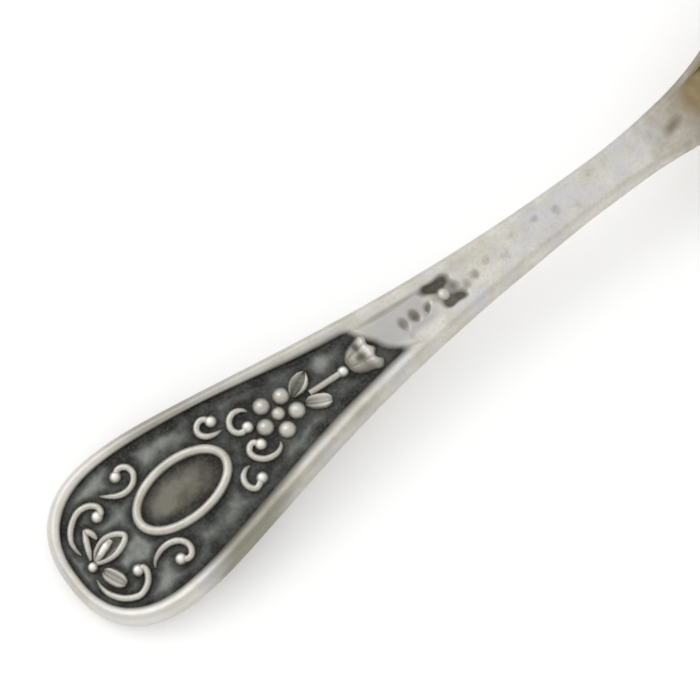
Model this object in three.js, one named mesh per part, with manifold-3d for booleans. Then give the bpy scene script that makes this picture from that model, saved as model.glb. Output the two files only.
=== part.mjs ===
// Salt spoon, built the bench way: a forged handle whose broad end has a sunk panel inside a half-round
// rim, a raised bowl soldered onto the drop at the handle's far end, and scrolls of beaded wire, balls,
// leaves and bell-shaped husks soldered to the ground of the panel.
// Millimetres, +Z up. The spoon lies face up on its bowl and on its tip, tip towards -X, bowl towards +X.
// "Along" is measured on the handle's face from the tip, "across" from its mid line, left side positive.
import * as THREE from "three";
import { mergeVertices } from "three/addons/utils/BufferGeometryUtils.js";
import Module from "manifold-3d";

const wasm = await Module();
wasm.setup();

// Plan of the handle: an oval tip, a long taper to the neck, and the seam where the bowl begins.
const TIP_LENGTH = 6;
const TIP_HALF_WIDTH = 5.7;
const TIP_FULLNESS = 2.4;
const NECK_AT = 42;
const NECK_HALF_WIDTH = 1.58;
const TAPER_BULGE = 5.9;
const TAPER_WAIST = 20;
const SEAM_AT = 48;

// Side view of the handle: an arch from the tip, then a stem that climbs gently to the bowl. The edge is
// round: EDGE_FALL is the share of the thickness that its upper half takes, EDGE_ROUND its lower rounding.
const ARCH_LENGTH = 24;
const STEM_PITCH = THREE.MathUtils.degToRad(3.4);
const NECK_PITCH = THREE.MathUtils.degToRad(2.6);
const TIP_THICKNESS = 1.55;
const NECK_THICKNESS = 1.9;
const EDGE_ROUND = 0.45;
const EDGE_FALL = 0.54;
const TIP_WEAR = 0.06;

// Rim and sunk panel on the handle's face.
const RIM_WIDTH = 1.05;
const PANEL_DEPTH = 0.42;
const PANEL_MARGIN = 0.4;
const PANEL_RUNOUT = 0.9;

// Bowl: an egg-shaped dish with a small flat under it, and the drop that carries it from below.
const BOWL_LENGTH = 21.2;
const BOWL_WIDEST = 11.6;
const BOWL_HALF_WIDTH = 7;
const BOWL_DEPTH = 5.8;
const BOWL_WALL = 0.6;
const BOWL_FULLNESS = 0.7;
const FLAT_DEPTH = 0.35;
const SHOULDER_WAIST = 15.5;
const SHOULDER_BULGE = 5;
const LIP_ROUND = 0.15;
const DROP_LENGTH = 6.5;
const DROP_EDGE = 0.2;

// Ornament: wire, balls, leaves and husks, all standing on a film of solder. Each is laid out from the
// one before it, from the rim at the tip towards the bowl, in a line that bows to the left by SET_OFF.
const SOLDER = 0.05;
const SET_OFF = 0.25;
const WIRE_WIDTH = 0.48;
const WIRE_HEIGHT = 0.4;
const TAIL_WIDTH = 0.2;
const TAIL_SHARE = 0.4;
const BEAD_RADIUS = 0.38;
const BEAD_HEIGHT = 0.46;
const TIP_BEAD_RADIUS = 0.32;
const TIP_BEAD_GAP = 0.54;
const LEAF_GAP = 0.06;
const LEAF_HEIGHT = 0.4;
const LEAF_LENGTH = 2.45;
const LEAF_HALF_WIDTH = 0.72;
const LEAF_TURN = THREE.MathUtils.degToRad(4);
const SIDE_LEAF_LENGTH = 1.9;
const SIDE_LEAF_HALF_WIDTH = 0.42;
const OVAL_GAP = 0.96;
const OVAL_HALF_LENGTH = 3.3;
const OVAL_HALF_WIDTH = 1.89;
const FLOWER_GAP = 2.31;
const FLOWER_RADIUS = 1.16;
const FLOWER_TURN = THREE.MathUtils.degToRad(10);
const PETALS = 5;
const PETAL_RADIUS = 0.56;
const PETAL_HEIGHT = 0.56;
const EYE_RADIUS = 0.41;
const EYE_HEIGHT = 0.58;
const SPRIG_LENGTH = 1.6;
const SPRIG_HALF_WIDTH = 0.5;
const SPRIG_SPREAD = THREE.MathUtils.degToRad(28);
const ROD_GAP = 0.97;
const ROD_LENGTH = 1.63;
const CHAIN_GAP = 0.09;
const HUSK_HEIGHT = 0.46;
const HUSK_LENGTHS = [2.2, 1.95, 1, 0.85];
const HUSK_HALF_WIDTHS = [1.28, 1.2, 1.1, 1.05];
const END_BEAD_GAP = 0.8;

// Shapes given as shares: the wire's section as height and width, the others as plan and height, and the
// husk's half outline as length and width.
const WIRE_SECTION = [[0, 0], [0, 1], [0.55, 0.94], [0.9, 0.55], [1, 0]];
const LEAF_BELLY = 0.85;
const LEAF_SECTION = [[1, 0], [0.98, 0.6], [0.84, 1], [0.6, 0.5], [0.34, 0.5], [0.2, 0.9]];
const HUSK_SECTION = [[1, 0], [0.97, 0.55], [0.78, 0.92], [0.4, 1]];
const HUSK_OUTLINE = [[0, 0], [0.03, 0.2], [0.12, 0.44], [0.28, 0.6], [0.46, 0.6], [0.58, 0.7], [0.7, 0.94],
  [0.79, 1], [0.85, 0.88], [0.87, 0.6], [0.88, 0.34], [0.94, 0.24], [1, 0]];

// Facets.
const TIP_STEPS = 12;
const STEM_STEPS = 30;
const DROP_STEPS = 7;
const ROUND_STEPS = 3;
const BOWL_STEPS = 16;
const NOSE_STEPS = 9;
const DISH_STEPS = 9;
const CENTRE_SHARE = 0.2;
const WIRE_STEPS = 22;
const OVAL_STEPS = 40;
const BEAD_SIDES = 12;
const BEAD_RINGS = 3;
const LEAF_STEPS = 8;

// Values that follow from the sizes above.
const RIM_HEIGHT = BOWL_DEPTH + BOWL_WALL;
const WIDEST_AT = SEAM_AT + BOWL_WIDEST;
const NOSE_LENGTH = BOWL_LENGTH - BOWL_WIDEST;
const STEM_END = SEAM_AT - SOLDER;

// Places along the ornament, each where a piece starts, ends or has its middle.
const TIP_BEAD_AT = RIM_WIDTH + TIP_BEAD_GAP + TIP_BEAD_RADIUS;
const LEAF_START = TIP_BEAD_AT + TIP_BEAD_RADIUS + LEAF_GAP;
const OVAL_START = LEAF_START + LEAF_LENGTH + OVAL_GAP;
const OVAL_AT = OVAL_START + WIRE_WIDTH / 2 + OVAL_HALF_LENGTH;
const OVAL_END = OVAL_AT + OVAL_HALF_LENGTH + WIRE_WIDTH / 2;
const FLOWER_AT = OVAL_END + FLOWER_GAP + PETAL_RADIUS + FLOWER_RADIUS;
const FLOWER_END = FLOWER_AT + FLOWER_RADIUS + PETAL_RADIUS;
const ROD_START = FLOWER_END + ROD_GAP;
const ROD_BEAD_AT = ROD_START + ROD_LENGTH + CHAIN_GAP + BEAD_RADIUS;
const CHAIN_START = ROD_BEAD_AT + BEAD_RADIUS + CHAIN_GAP;
const chainLength = HUSK_LENGTHS.reduce((sum, length) => sum + length + CHAIN_GAP, 0);
const END_BEAD_AT = CHAIN_START + chainLength + END_BEAD_GAP + BEAD_RADIUS;
const PANEL_END = END_BEAD_AT + BEAD_RADIUS + PANEL_MARGIN + PANEL_RUNOUT;

const { lerp, smoothstep } = THREE.MathUtils;
const flat = (x, y) => new THREE.Vector2(x, y);

// Plan outline

const taper = new THREE.CubicBezierCurve(
  flat(TIP_LENGTH, TIP_HALF_WIDTH),
  flat(TIP_LENGTH + TAPER_BULGE, TIP_HALF_WIDTH),
  flat(NECK_AT - TAPER_WAIST, NECK_HALF_WIDTH),
  flat(NECK_AT, NECK_HALF_WIDTH),
);
const shoulder = new THREE.CubicBezierCurve(
  flat(NECK_AT, NECK_HALF_WIDTH),
  flat(NECK_AT + SHOULDER_WAIST, NECK_HALF_WIDTH),
  flat(WIDEST_AT - SHOULDER_BULGE, BOWL_HALF_WIDTH),
  flat(WIDEST_AT, BOWL_HALF_WIDTH),
);

// The root of a rising function between two limits, by halving.
function solve(rising, low, high) {
  for (let step = 0; step < 40; step++) {
    const middle = (low + high) / 2;
    if (rising(middle) < 0) low = middle;
    else high = middle;
  }
  return (low + high) / 2;
}

const placeOn = (curve, along) => solve((u) => curve.getPoint(u).x - along, 0, 1);
const widthOn = (curve, along) => curve.getPoint(placeOn(curve, along)).y;

// Half width of the full oval tip at a distance from its end.
function tipWidth(length, halfWidth, fromEnd) {
  const share = Math.min(1, (length - fromEnd) / length);
  return halfWidth * (1 - share ** TIP_FULLNESS) ** (1 / TIP_FULLNESS);
}

function stemHalfWidth(along) {
  if (along < TIP_LENGTH) return tipWidth(TIP_LENGTH, TIP_HALF_WIDTH, along);
  return along < NECK_AT ? widthOn(taper, along) : widthOn(shoulder, along);
}

function panelHalfWidth(along) {
  if (along > TIP_LENGTH) return stemHalfWidth(along) - RIM_WIDTH;
  return tipWidth(TIP_LENGTH - RIM_WIDTH, TIP_HALF_WIDTH - RIM_WIDTH, along - RIM_WIDTH);
}

// A closed loop from its left half, whose first and last points lie on the mid line.
function mirrored(half) {
  const back = half.slice(1, -1).reverse();
  return [...half, ...back.map((p) => p.clone().setY(-p.y))];
}

// Solids

function triangleSolid(positions, triangles) {
  const kept = [];
  for (let i = 0; i < triangles.length; i += 3) {
    const [a, b, c] = triangles.slice(i, i + 3);
    if (a !== b && b !== c && c !== a) kept.push(a, b, c);
  }
  const mesh = { numProp: 3, vertProperties: new Float32Array(positions), triVerts: new Uint32Array(kept) };
  return new wasm.Manifold(new wasm.Mesh(mesh));
}

function solidOf(geometry) {
  const bare = geometry.clone();
  bare.deleteAttribute("normal");
  bare.deleteAttribute("uv");
  const merged = mergeVertices(bare, 1e-4);
  return triangleSolid(merged.attributes.position.array, Array.from(merged.index.array));
}

function geometryOf(solid) {
  const mesh = solid.getMesh();
  const geometry = new THREE.BufferGeometry();
  geometry.setAttribute("position", new THREE.BufferAttribute(mesh.vertProperties, 3));
  geometry.setIndex(new THREE.BufferAttribute(mesh.triVerts, 1));
  return geometry;
}

// A closed solid through a stack of mirrored loops of 3-D points. Its two ends are zipped shut across
// the mid line, unless the last loop joins the first again.
function skin(loops, endless = false) {
  const count = loops[0].length;
  const triangles = [];
  const quad = (a, b, c, d) => triangles.push(a, b, c, a, c, d);
  const bands = endless ? loops.length : loops.length - 1;
  for (let k = 0; k < bands; k++) {
    const low = k * count;
    const high = ((k + 1) % loops.length) * count;
    for (let i = 0; i < count; i++) {
      const next = (i + 1) % count;
      quad(low + i, high + i, high + next, low + next);
    }
  }
  const top = (loops.length - 1) * count;
  for (let i = 0; i < count / 2 && !endless; i++) {
    const mirror = (count - i) % count;
    quad(i, i + 1, count - i - 1, mirror);
    quad(top + mirror, top + count - i - 1, top + i + 1, top + i);
  }
  const positions = loops.flat().flatMap((p) => [p.x, p.y, p.z]);
  const geometry = new THREE.BufferGeometry();
  geometry.setAttribute("position", new THREE.Float32BufferAttribute(positions, 3));
  geometry.setIndex(triangles);
  return solidOf(geometry);
}

// Side view: where a point of the handle's face lies

function arc(startPitch, endPitch, length, along) {
  const pitch = startPitch + ((endPitch - startPitch) * along) / length;
  const radius = length / (startPitch - endPitch);
  return {
    x: radius * (Math.sin(startPitch) - Math.sin(pitch)),
    z: radius * (Math.cos(pitch) - Math.cos(startPitch)),
    pitch,
  };
}

const STEM_LENGTH = SEAM_AT - ARCH_LENGTH;
const stemRise = arc(STEM_PITCH, NECK_PITCH, STEM_LENGTH, STEM_LENGTH).z;
const archRise = (pitch) => arc(pitch, STEM_PITCH, ARCH_LENGTH, ARCH_LENGTH).z;

// The tip droops until its lower edge is worn flat by TIP_WEAR on the table that carries the bowl.
const tipDrop = (pitch) => TIP_THICKNESS * Math.cos(pitch) - EDGE_ROUND * Math.sin(pitch) - TIP_WEAR;
const TIP_PITCH = solve((p) => archRise(p) + stemRise + tipDrop(p) - RIM_HEIGHT, STEM_PITCH + 0.01, 0.8);
const TIP_TOP = RIM_HEIGHT - stemRise - archRise(TIP_PITCH);

function spine(along) {
  if (along < ARCH_LENGTH) {
    const point = arc(TIP_PITCH, STEM_PITCH, ARCH_LENGTH, along);
    return { ...point, z: point.z + TIP_TOP };
  }
  const arch = arc(TIP_PITCH, STEM_PITCH, ARCH_LENGTH, ARCH_LENGTH);
  const stem = arc(STEM_PITCH, NECK_PITCH, STEM_LENGTH, Math.min(along, SEAM_AT) - ARCH_LENGTH);
  const past = Math.max(0, along - SEAM_AT);
  return { x: arch.x + stem.x + past, z: TIP_TOP + arch.z + stem.z, pitch: past > 0 ? 0 : stem.pitch };
}

function onHandle(along, across, height) {
  const { x, z, pitch } = spine(along);
  const rise = z + height * Math.cos(pitch);
  return new THREE.Vector3(x - height * Math.sin(pitch), across, Math.max(0, rise));
}

function groundHeight(along) {
  return -PANEL_DEPTH * (1 - smoothstep(along, PANEL_END - PANEL_RUNOUT, PANEL_END));
}

// The line of the ornament, set by eye, bows off the mid line between the tip and the chain of husks.
const lean = (along) => SET_OFF * Math.sin(Math.PI * Math.min(1, along / CHAIN_START));

// A mesh or group set on the ground of the panel, level with it, and turned about its own foot.
function seat(object, along, across = 0, turn = 0) {
  object.position.copy(onHandle(along, across + lean(along), groundHeight(along) + SOLDER));
  object.rotation.y = -spine(along).pitch;
  object.rotateZ(turn);
  return object;
}

// Bowl, drawn from the seam

// Left half of the bowl's edge, from the seam round to the nose, moved inwards by a distance.
function bowlEdge(distance) {
  const edge = [flat(SEAM_AT + distance, 0)];
  for (let i = 0; i <= BOWL_STEPS; i++) {
    const along = lerp(SEAM_AT + distance, WIDEST_AT, i / BOWL_STEPS);
    const tangent = shoulder.getTangent(placeOn(shoulder, along));
    edge.push(flat(along, widthOn(shoulder, along) - distance / tangent.x));
  }
  for (let i = 1; i <= NOSE_STEPS; i++) {
    const turn = (Math.PI / 2) * (i / NOSE_STEPS);
    const along = WIDEST_AT + (NOSE_LENGTH - distance) * Math.sin(turn);
    edge.push(flat(along, (BOWL_HALF_WIDTH - distance) * Math.cos(turn)));
  }
  edge.at(-1).y = 0;
  return edge;
}

// Half width of an edge at a place along it.
function edgeWidth(edge, along) {
  const next = Math.max(2, edge.findIndex((p) => p.x >= along));
  const [from, to] = [edge[next - 1], edge[next]];
  return lerp(from.y, to.y, (along - from.x) / (to.x - from.x));
}

// How deep the dish is inside an edge, from 0 to 1: a gentle S from the heel to the deepest place, a
// round end at the nose, and a round trough across.
function dishDepth(edge, along, across) {
  const heelward = (WIDEST_AT - along) / (WIDEST_AT - edge[0].x);
  const noseward = (along - WIDEST_AT) / (edge.at(-1).x - WIDEST_AT);
  const rounded = (share) => Math.max(0, 1 - share * share) ** BOWL_FULLNESS;
  const lengthways = along < WIDEST_AT ? (1 + Math.cos(Math.PI * heelward)) / 2 : rounded(noseward);
  return lengthways > 0 ? lengthways * rounded(across / edgeWidth(edge, along)) : 0;
}

// Back of the bowl, cut off flat where it stands on the table, and the hollow inside it.
const backHeight = (depth) => Math.max(0, BOWL_DEPTH - (BOWL_DEPTH + FLAT_DEPTH) * depth);
const hollowHeight = (depth) => RIM_HEIGHT - BOWL_DEPTH * depth;

// One loop of the dish: its edge shrunk towards the deepest place, rounder the smaller it is.
function dishLoop(edge, share, heightAt) {
  return mirrored(edge).map((p) => {
    const from = flat(p.x - WIDEST_AT, p.y);
    const reach = from.length();
    from.multiplyScalar((share * lerp(BOWL_HALF_WIDTH, reach, share)) / reach);
    const depth = share < 1 ? dishDepth(edge, WIDEST_AT + from.x, from.y) : 0;
    return new THREE.Vector3(BOWL_WIDEST + from.x, from.y, heightAt(depth));
  });
}

const dishShares = [];
for (let i = 0; i <= DISH_STEPS; i++) dishShares.push(lerp(CENTRE_SHARE, 1, i / DISH_STEPS));

function bowlSolid() {
  const outer = bowlEdge(0);
  const inner = bowlEdge(BOWL_WALL);
  const loops = dishShares.map((share) => dishLoop(outer, share, backHeight));
  loops.push(dishLoop(outer, 1, () => RIM_HEIGHT - LIP_ROUND));
  loops.push(dishLoop(bowlEdge(LIP_ROUND), 1, () => RIM_HEIGHT));
  loops.push(...dishShares.toReversed().map((share) => dishLoop(inner, share, hollowHeight)));
  return skin(loops);
}

// Height of the bowl's back over the mid line, a distance past the seam.
const bowlOutline = bowlEdge(0);
const heelHeight = (past) => backHeight(dishDepth(bowlOutline, SEAM_AT + past, 0));

// Handle

// Left half of the tip's and stem's outline up to the seam, moved inwards by a distance.
function stemEdge(distance) {
  const edge = [];
  const length = TIP_LENGTH - distance;
  const halfWidth = TIP_HALF_WIDTH - distance;
  for (let i = 0; i <= TIP_STEPS; i++) {
    const turn = (Math.PI / 2) * (i / TIP_STEPS);
    const along = TIP_LENGTH - length * Math.cos(turn) ** (2 / TIP_FULLNESS);
    edge.push(flat(along, halfWidth * Math.sin(turn) ** (2 / TIP_FULLNESS)));
  }
  for (let i = 1; i <= STEM_STEPS; i++) {
    const along = lerp(TIP_LENGTH, STEM_END, i / STEM_STEPS);
    edge.push(flat(along, stemHalfWidth(along) - distance));
  }
  return edge;
}

// Left half of the drop's outline, a tongue that starts as wide as the stem.
function dropEdge(distance) {
  const edge = [];
  for (let i = 0; i <= DROP_STEPS; i++) {
    const turn = (Math.PI / 2) * (i / DROP_STEPS);
    const along = STEM_END + DROP_LENGTH * Math.sin(turn);
    edge.push(flat(along, (stemHalfWidth(STEM_END) - distance) * Math.cos(turn)));
  }
  edge.at(-1).y = 0;
  return edge;
}

// The drop hugs the back of the bowl from below and thins towards its end.
const DROP_ROOT = NECK_THICKNESS - BOWL_WALL;
const dropThickness = (along) => lerp(DROP_ROOT, DROP_EDGE, ((along - STEM_END) / DROP_LENGTH) ** 2);
const seatHeight = (along) => heelHeight(along - STEM_END) - RIM_HEIGHT;
const dropBottom = (along) => seatHeight(along) - dropThickness(along);
const dropSide = (along) => dropBottom(along) + (EDGE_ROUND * dropThickness(along)) / DROP_ROOT;
const dropTop = (along) => seatHeight(along) - SOLDER;

const stemBottom = (along) => -lerp(TIP_THICKNESS, NECK_THICKNESS, along / STEM_END);
const stemSide = (along) => stemBottom(along) + EDGE_ROUND;

function handleLoop(distance, stemHeight, dropHeight) {
  const stem = stemEdge(distance).map((p) => onHandle(p.x, p.y, stemHeight(p.x)));
  const drop = dropEdge(distance).map((p) => onHandle(p.x, p.y, dropHeight(p.x)));
  return mirrored([...stem, ...drop]);
}

function handleSolid() {
  const loops = [handleLoop(EDGE_ROUND, stemBottom, dropBottom), handleLoop(0, stemSide, dropSide)];
  for (let i = 0; i <= ROUND_STEPS; i++) {
    const turn = (Math.PI / 2) * (i / ROUND_STEPS);
    const distance = (RIM_WIDTH / 2) * (1 - Math.cos(turn));
    loops.push(handleLoop(distance, (along) => EDGE_FALL * stemBottom(along) * (1 - Math.sin(turn)), dropTop));
  }
  for (let i = 1; i <= ROUND_STEPS; i++) {
    const turn = (Math.PI / 2) * (i / ROUND_STEPS);
    const distance = (RIM_WIDTH / 2) * (1 + Math.sin(turn));
    loops.push(handleLoop(distance, (along) => groundHeight(along) * (1 - Math.cos(turn)), dropTop));
  }
  return skin(loops);
}

// Ornament pieces, drawn flat as along, across and height about their own feet

// A ball, sunk a little into the ground so that it has a flat foot.
function ball(radius, height) {
  const centre = height - radius;
  const foot = Math.asin(THREE.MathUtils.clamp(-centre / radius, -1, 1));
  const profile = [flat(0, 0)];
  for (let i = 0; i <= BEAD_RINGS; i++) {
    const turn = lerp(foot, Math.PI / 2, i / BEAD_RINGS);
    profile.push(flat(radius * Math.cos(turn), centre + radius * Math.sin(turn)));
  }
  profile.at(-1).x = 0;
  return solidOf(new THREE.LatheGeometry(profile, BEAD_SIDES).rotateX(Math.PI / 2));
}

// The half-round section of a wire at one place of its path, loop for loop.
function wireLoop(point, tangent, size) {
  return mirrored(WIRE_SECTION.map(([level, share]) => flat(level, share))).map((p) => {
    const side = (p.y * WIRE_WIDTH * size) / 2;
    const x = point.x + tangent.y * side;
    const y = point.y - tangent.x * side;
    return new THREE.Vector3(x, y, (p.x * WIRE_HEIGHT * (1 + size)) / 2);
  });
}

// A drawn wire through a few points, thin at its tail and full from there on.
function wire(points, tail = TAIL_WIDTH) {
  const path = new THREE.SplineCurve(points);
  const loops = [];
  for (let k = 0; k <= WIRE_STEPS; k++) {
    const u = k / WIRE_STEPS;
    const size = lerp(tail / WIRE_WIDTH, 1, smoothstep(u, 0, TAIL_SHARE));
    loops.push(wireLoop(path.getPointAt(u), path.getTangentAt(u), size));
  }
  return skin(loops);
}

// A scroll: a wire that curls round to the ball melted on its end.
function scroll(points) {
  const end = points.at(-1);
  return wire(points.map((p) => p.clone().sub(end))).add(ball(BEAD_RADIUS, BEAD_HEIGHT));
}

// A raised piece from the left half of its outline, whose loop climbs by steps as it shrinks about the
// middle of its length. Each step is a share of the plan and a share of the height.
function raised(half, height, steps) {
  const loop = mirrored(half);
  const middle = half.at(-1).x / 2;
  const rise = ([share, level]) =>
    loop.map((p) => new THREE.Vector3(lerp(middle, p.x, share), p.y * share, height * level));
  return skin(steps.map(rise));
}

// A chased leaf: a pointed oval with a raised border, a hollow, and a rib down the middle.
function chasedLeaf(length, halfWidth) {
  const half = [];
  for (let i = 0; i <= LEAF_STEPS; i++) {
    const u = i / LEAF_STEPS;
    half.push(flat(length * u, halfWidth * Math.sin(Math.PI * u ** LEAF_BELLY)));
  }
  half.at(-1).y = 0;
  return raised(half, LEAF_HEIGHT, LEAF_SECTION);
}

// A bell-shaped husk, its calyx at the start and three lobes at its mouth.
function husk(length, halfWidth) {
  const half = HUSK_OUTLINE.map(([u, width]) => flat(length * u, halfWidth * width));
  return raised(half, HUSK_HEIGHT, HUSK_SECTION);
}

// Metals

const metal = (color, roughness) => new THREE.MeshStandardMaterial({ color, roughness, metalness: 1 });
const handleSilver = () => metal(0xc9c4b8, 0.38);
const ornamentSilver = () => metal(0xd6d3ca, 0.34);
const gilt = () => metal(0xa88d5c, 0.3);

// Assembly

function piece(name, solid, material) {
  const geometry = geometryOf(solid);
  geometry.computeVertexNormals();
  const mesh = new THREE.Mesh(geometry, material);
  mesh.name = name;
  return mesh;
}

const trim = (name, solid) => piece(name, solid, ornamentSilver());

const bowl = piece("bowl", bowlSolid(), gilt());
bowl.position.x = spine(SEAM_AT).x;
const ornament = new THREE.Group();
const spoon = new THREE.Group();
spoon.add(piece("handle", handleSolid(), handleSilver()), bowl, ornament);

// A place on the panel: a distance from a piece on the mid line, and a share of the panel's half width.
function spot(from, [past, share]) {
  const along = from + past;
  return flat(along, share * panelHalfWidth(along));
}

ornament.add(seat(trim("tip_bead", ball(TIP_BEAD_RADIUS, BEAD_HEIGHT)), TIP_BEAD_AT));

// Three leaves fan out from the bead at the tip.
const centreLeaf = trim("tip_leaf_centre", chasedLeaf(LEAF_LENGTH, LEAF_HALF_WIDTH));
ornament.add(seat(centreLeaf, LEAF_START, 0, LEAF_TURN));
const sideLeaves = [
  ["left", [0.14, 0.15], 61],
  ["right", [0.29, -0.16], -71],
];
for (const [side, place, degrees] of sideLeaves) {
  const leaf = trim(`tip_leaf_${side}`, chasedLeaf(SIDE_LEAF_LENGTH, SIDE_LEAF_HALF_WIDTH));
  const { x, y } = spot(TIP_BEAD_AT, place);
  ornament.add(seat(leaf, x, y, THREE.MathUtils.degToRad(degrees)));
}

// Four pairs of scrolls, each listed from its tail to the ball on its end.
const tipScrolls = {
  left: [[-0.09, 0.3], [-0.15, 0.49], [-0.03, 0.65], [0.49, 0.74], [1.29, 0.75], [2.04, 0.69], [2.51, 0.58],
    [2.49, 0.49], [2.14, 0.48]],
  right: [[-0.25, -0.3], [-0.29, -0.52], [-0.11, -0.7], [0.45, -0.81], [1.29, -0.82], [2.04, -0.72],
    [2.49, -0.59], [2.51, -0.5], [2.14, -0.48]],
};
const sideScrolls = {
  left: [[-0.75, 0.66], [-0.34, 0.57], [0.25, 0.49], [0.85, 0.46], [1.39, 0.5], [1.75, 0.6], [1.72, 0.71],
    [1.4, 0.77], [1.05, 0.77], [0.75, 0.72]],
  right: [[-0.73, -0.59], [-0.43, -0.51], [0.12, -0.45], [0.75, -0.45], [1.35, -0.5], [1.71, -0.59],
    [1.77, -0.69], [1.55, -0.77], [1.2, -0.78], [0.86, -0.72]],
};
const outerScrolls = {
  left: [[0.6, 0.42], [0.21, 0.42], [-0.29, 0.46], [-0.57, 0.55], [-0.54, 0.65], [-0.24, 0.74], [0.16, 0.77],
    [0.51, 0.7]],
  right: [[0.6, -0.42], [0.31, -0.42], [-0.06, -0.49], [-0.22, -0.6], [-0.12, -0.72], [0.21, -0.81],
    [0.81, -0.75]],
};
const innerScrolls = {
  left: [[2.61, 0.46], [2.38, 0.55], [1.9, 0.58], [1.43, 0.51], [1.18, 0.37], [1.23, 0.24], [1.56, 0.18],
    [2.08, 0.22]],
  right: [[3.1, -0.47], [2.88, -0.57], [2.4, -0.61], [1.76, -0.54], [1.32, -0.41], [1.16, -0.27],
    [1.34, -0.17], [1.71, -0.13], [2.03, -0.25]],
};
const scrollPairs = [
  ["tip_scroll", TIP_BEAD_AT, tipScrolls],
  ["side_scroll", OVAL_START, sideScrolls],
  ["outer_scroll", OVAL_END, outerScrolls],
  ["inner_scroll", OVAL_END, innerScrolls],
];
for (const [name, from, pair] of scrollPairs) {
  for (const [side, places] of Object.entries(pair)) {
    const points = places.map((place) => spot(from, place));
    const { x, y } = points.at(-1);
    ornament.add(seat(trim(`${name}_${side}`, scroll(points)), x, y));
  }
}

// The plain oval frame, bent to the arch of the handle.
const archRadius = ARCH_LENGTH / (TIP_PITCH - STEM_PITCH);
const oval = [];
for (let i = 0; i < OVAL_STEPS; i++) {
  const turn = (2 * Math.PI * i) / OVAL_STEPS;
  const point = flat(OVAL_HALF_LENGTH * Math.cos(turn), OVAL_HALF_WIDTH * Math.sin(turn));
  const tangent = flat(-OVAL_HALF_LENGTH * Math.sin(turn), OVAL_HALF_WIDTH * Math.cos(turn));
  const loop = wireLoop(point, tangent.normalize(), 1);
  oval.push(loop.map((p) => p.setZ(p.z - p.x ** 2 / (2 * archRadius))));
}
ornament.add(seat(trim("cartouche_ring", skin(oval, true)), OVAL_AT));

// A flower of balls, with a pair of leaves behind it.
const flower = new THREE.Group();
flower.add(trim("flower_eye", ball(EYE_RADIUS, EYE_HEIGHT)));
for (let i = 0; i < PETALS; i++) {
  const petal = trim(`petal_${i + 1}`, ball(PETAL_RADIUS, PETAL_HEIGHT));
  const turn = Math.PI * (1 + (2 * i) / PETALS);
  petal.position.set(FLOWER_RADIUS * Math.cos(turn), FLOWER_RADIUS * Math.sin(turn), 0);
  flower.add(petal);
}
ornament.add(seat(flower, FLOWER_AT, 0, FLOWER_TURN));
const sprigs = [
  ["left", [-0.18, 0.22], SPRIG_SPREAD],
  ["right", [0.12, -0.2], -SPRIG_SPREAD],
];
for (const [side, place, turn] of sprigs) {
  const { x, y } = spot(FLOWER_END, place);
  ornament.add(seat(trim(`sprig_leaf_${side}`, chasedLeaf(SPRIG_LENGTH, SPRIG_HALF_WIDTH)), x, y, turn));
}

// The rod and its ball, the chain of husks that dwindles along the stem, and the ball that ends it.
ornament.add(seat(trim("bud_rod", wire([flat(0, 0), flat(ROD_LENGTH, 0)], WIRE_WIDTH)), ROD_START));
ornament.add(seat(trim("bud_bead", ball(BEAD_RADIUS, BEAD_HEIGHT)), ROD_BEAD_AT));
let huskStart = CHAIN_START;
HUSK_LENGTHS.forEach((length, i) => {
  ornament.add(seat(trim(`husk_${i + 1}`, husk(length, HUSK_HALF_WIDTHS[i])), huskStart));
  huskStart += length + CHAIN_GAP;
});
ornament.add(seat(trim("end_bead", ball(BEAD_RADIUS, BEAD_HEIGHT)), END_BEAD_AT));

// The spoon is centred over the origin.
const centre = new THREE.Box3().setFromObject(spoon).getCenter(new THREE.Vector3());
spoon.position.x = -centre.x;

const part = new THREE.Group();
part.add(spoon);

export default part;
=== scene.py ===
import math
from functools import partialmethod

import bmesh
import bpy
import numpy as np
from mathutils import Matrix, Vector, kdtree


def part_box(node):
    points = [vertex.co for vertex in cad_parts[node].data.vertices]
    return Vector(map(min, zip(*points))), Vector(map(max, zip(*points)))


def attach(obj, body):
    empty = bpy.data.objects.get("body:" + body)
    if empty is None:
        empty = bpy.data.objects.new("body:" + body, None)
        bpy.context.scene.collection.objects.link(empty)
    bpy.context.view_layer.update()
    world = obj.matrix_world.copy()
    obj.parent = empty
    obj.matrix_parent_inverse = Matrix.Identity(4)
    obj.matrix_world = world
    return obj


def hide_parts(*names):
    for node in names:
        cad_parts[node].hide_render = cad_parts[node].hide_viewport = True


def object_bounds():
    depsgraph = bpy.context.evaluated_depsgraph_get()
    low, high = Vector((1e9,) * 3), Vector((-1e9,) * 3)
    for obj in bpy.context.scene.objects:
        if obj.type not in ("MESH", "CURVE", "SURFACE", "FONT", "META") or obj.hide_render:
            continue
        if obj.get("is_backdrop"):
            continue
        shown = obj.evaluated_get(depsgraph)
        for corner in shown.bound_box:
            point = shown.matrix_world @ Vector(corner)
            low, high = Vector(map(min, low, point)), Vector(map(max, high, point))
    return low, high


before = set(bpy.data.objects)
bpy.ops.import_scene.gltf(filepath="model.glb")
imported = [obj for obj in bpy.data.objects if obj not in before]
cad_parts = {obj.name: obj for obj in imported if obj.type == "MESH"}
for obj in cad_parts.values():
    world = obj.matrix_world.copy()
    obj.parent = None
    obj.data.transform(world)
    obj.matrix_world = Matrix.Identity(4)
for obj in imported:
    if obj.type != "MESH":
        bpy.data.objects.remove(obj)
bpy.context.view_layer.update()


# The handle: one bar of silver, forged to a broad rounded tip and a slim stem and arched between.
# A half-round rim stands round a sunk panel, and a tongue at the end, the drop, carries the bowl.
# Lengths are in millimetres: along the face from the tip, across from its mid line, height over it.

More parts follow.
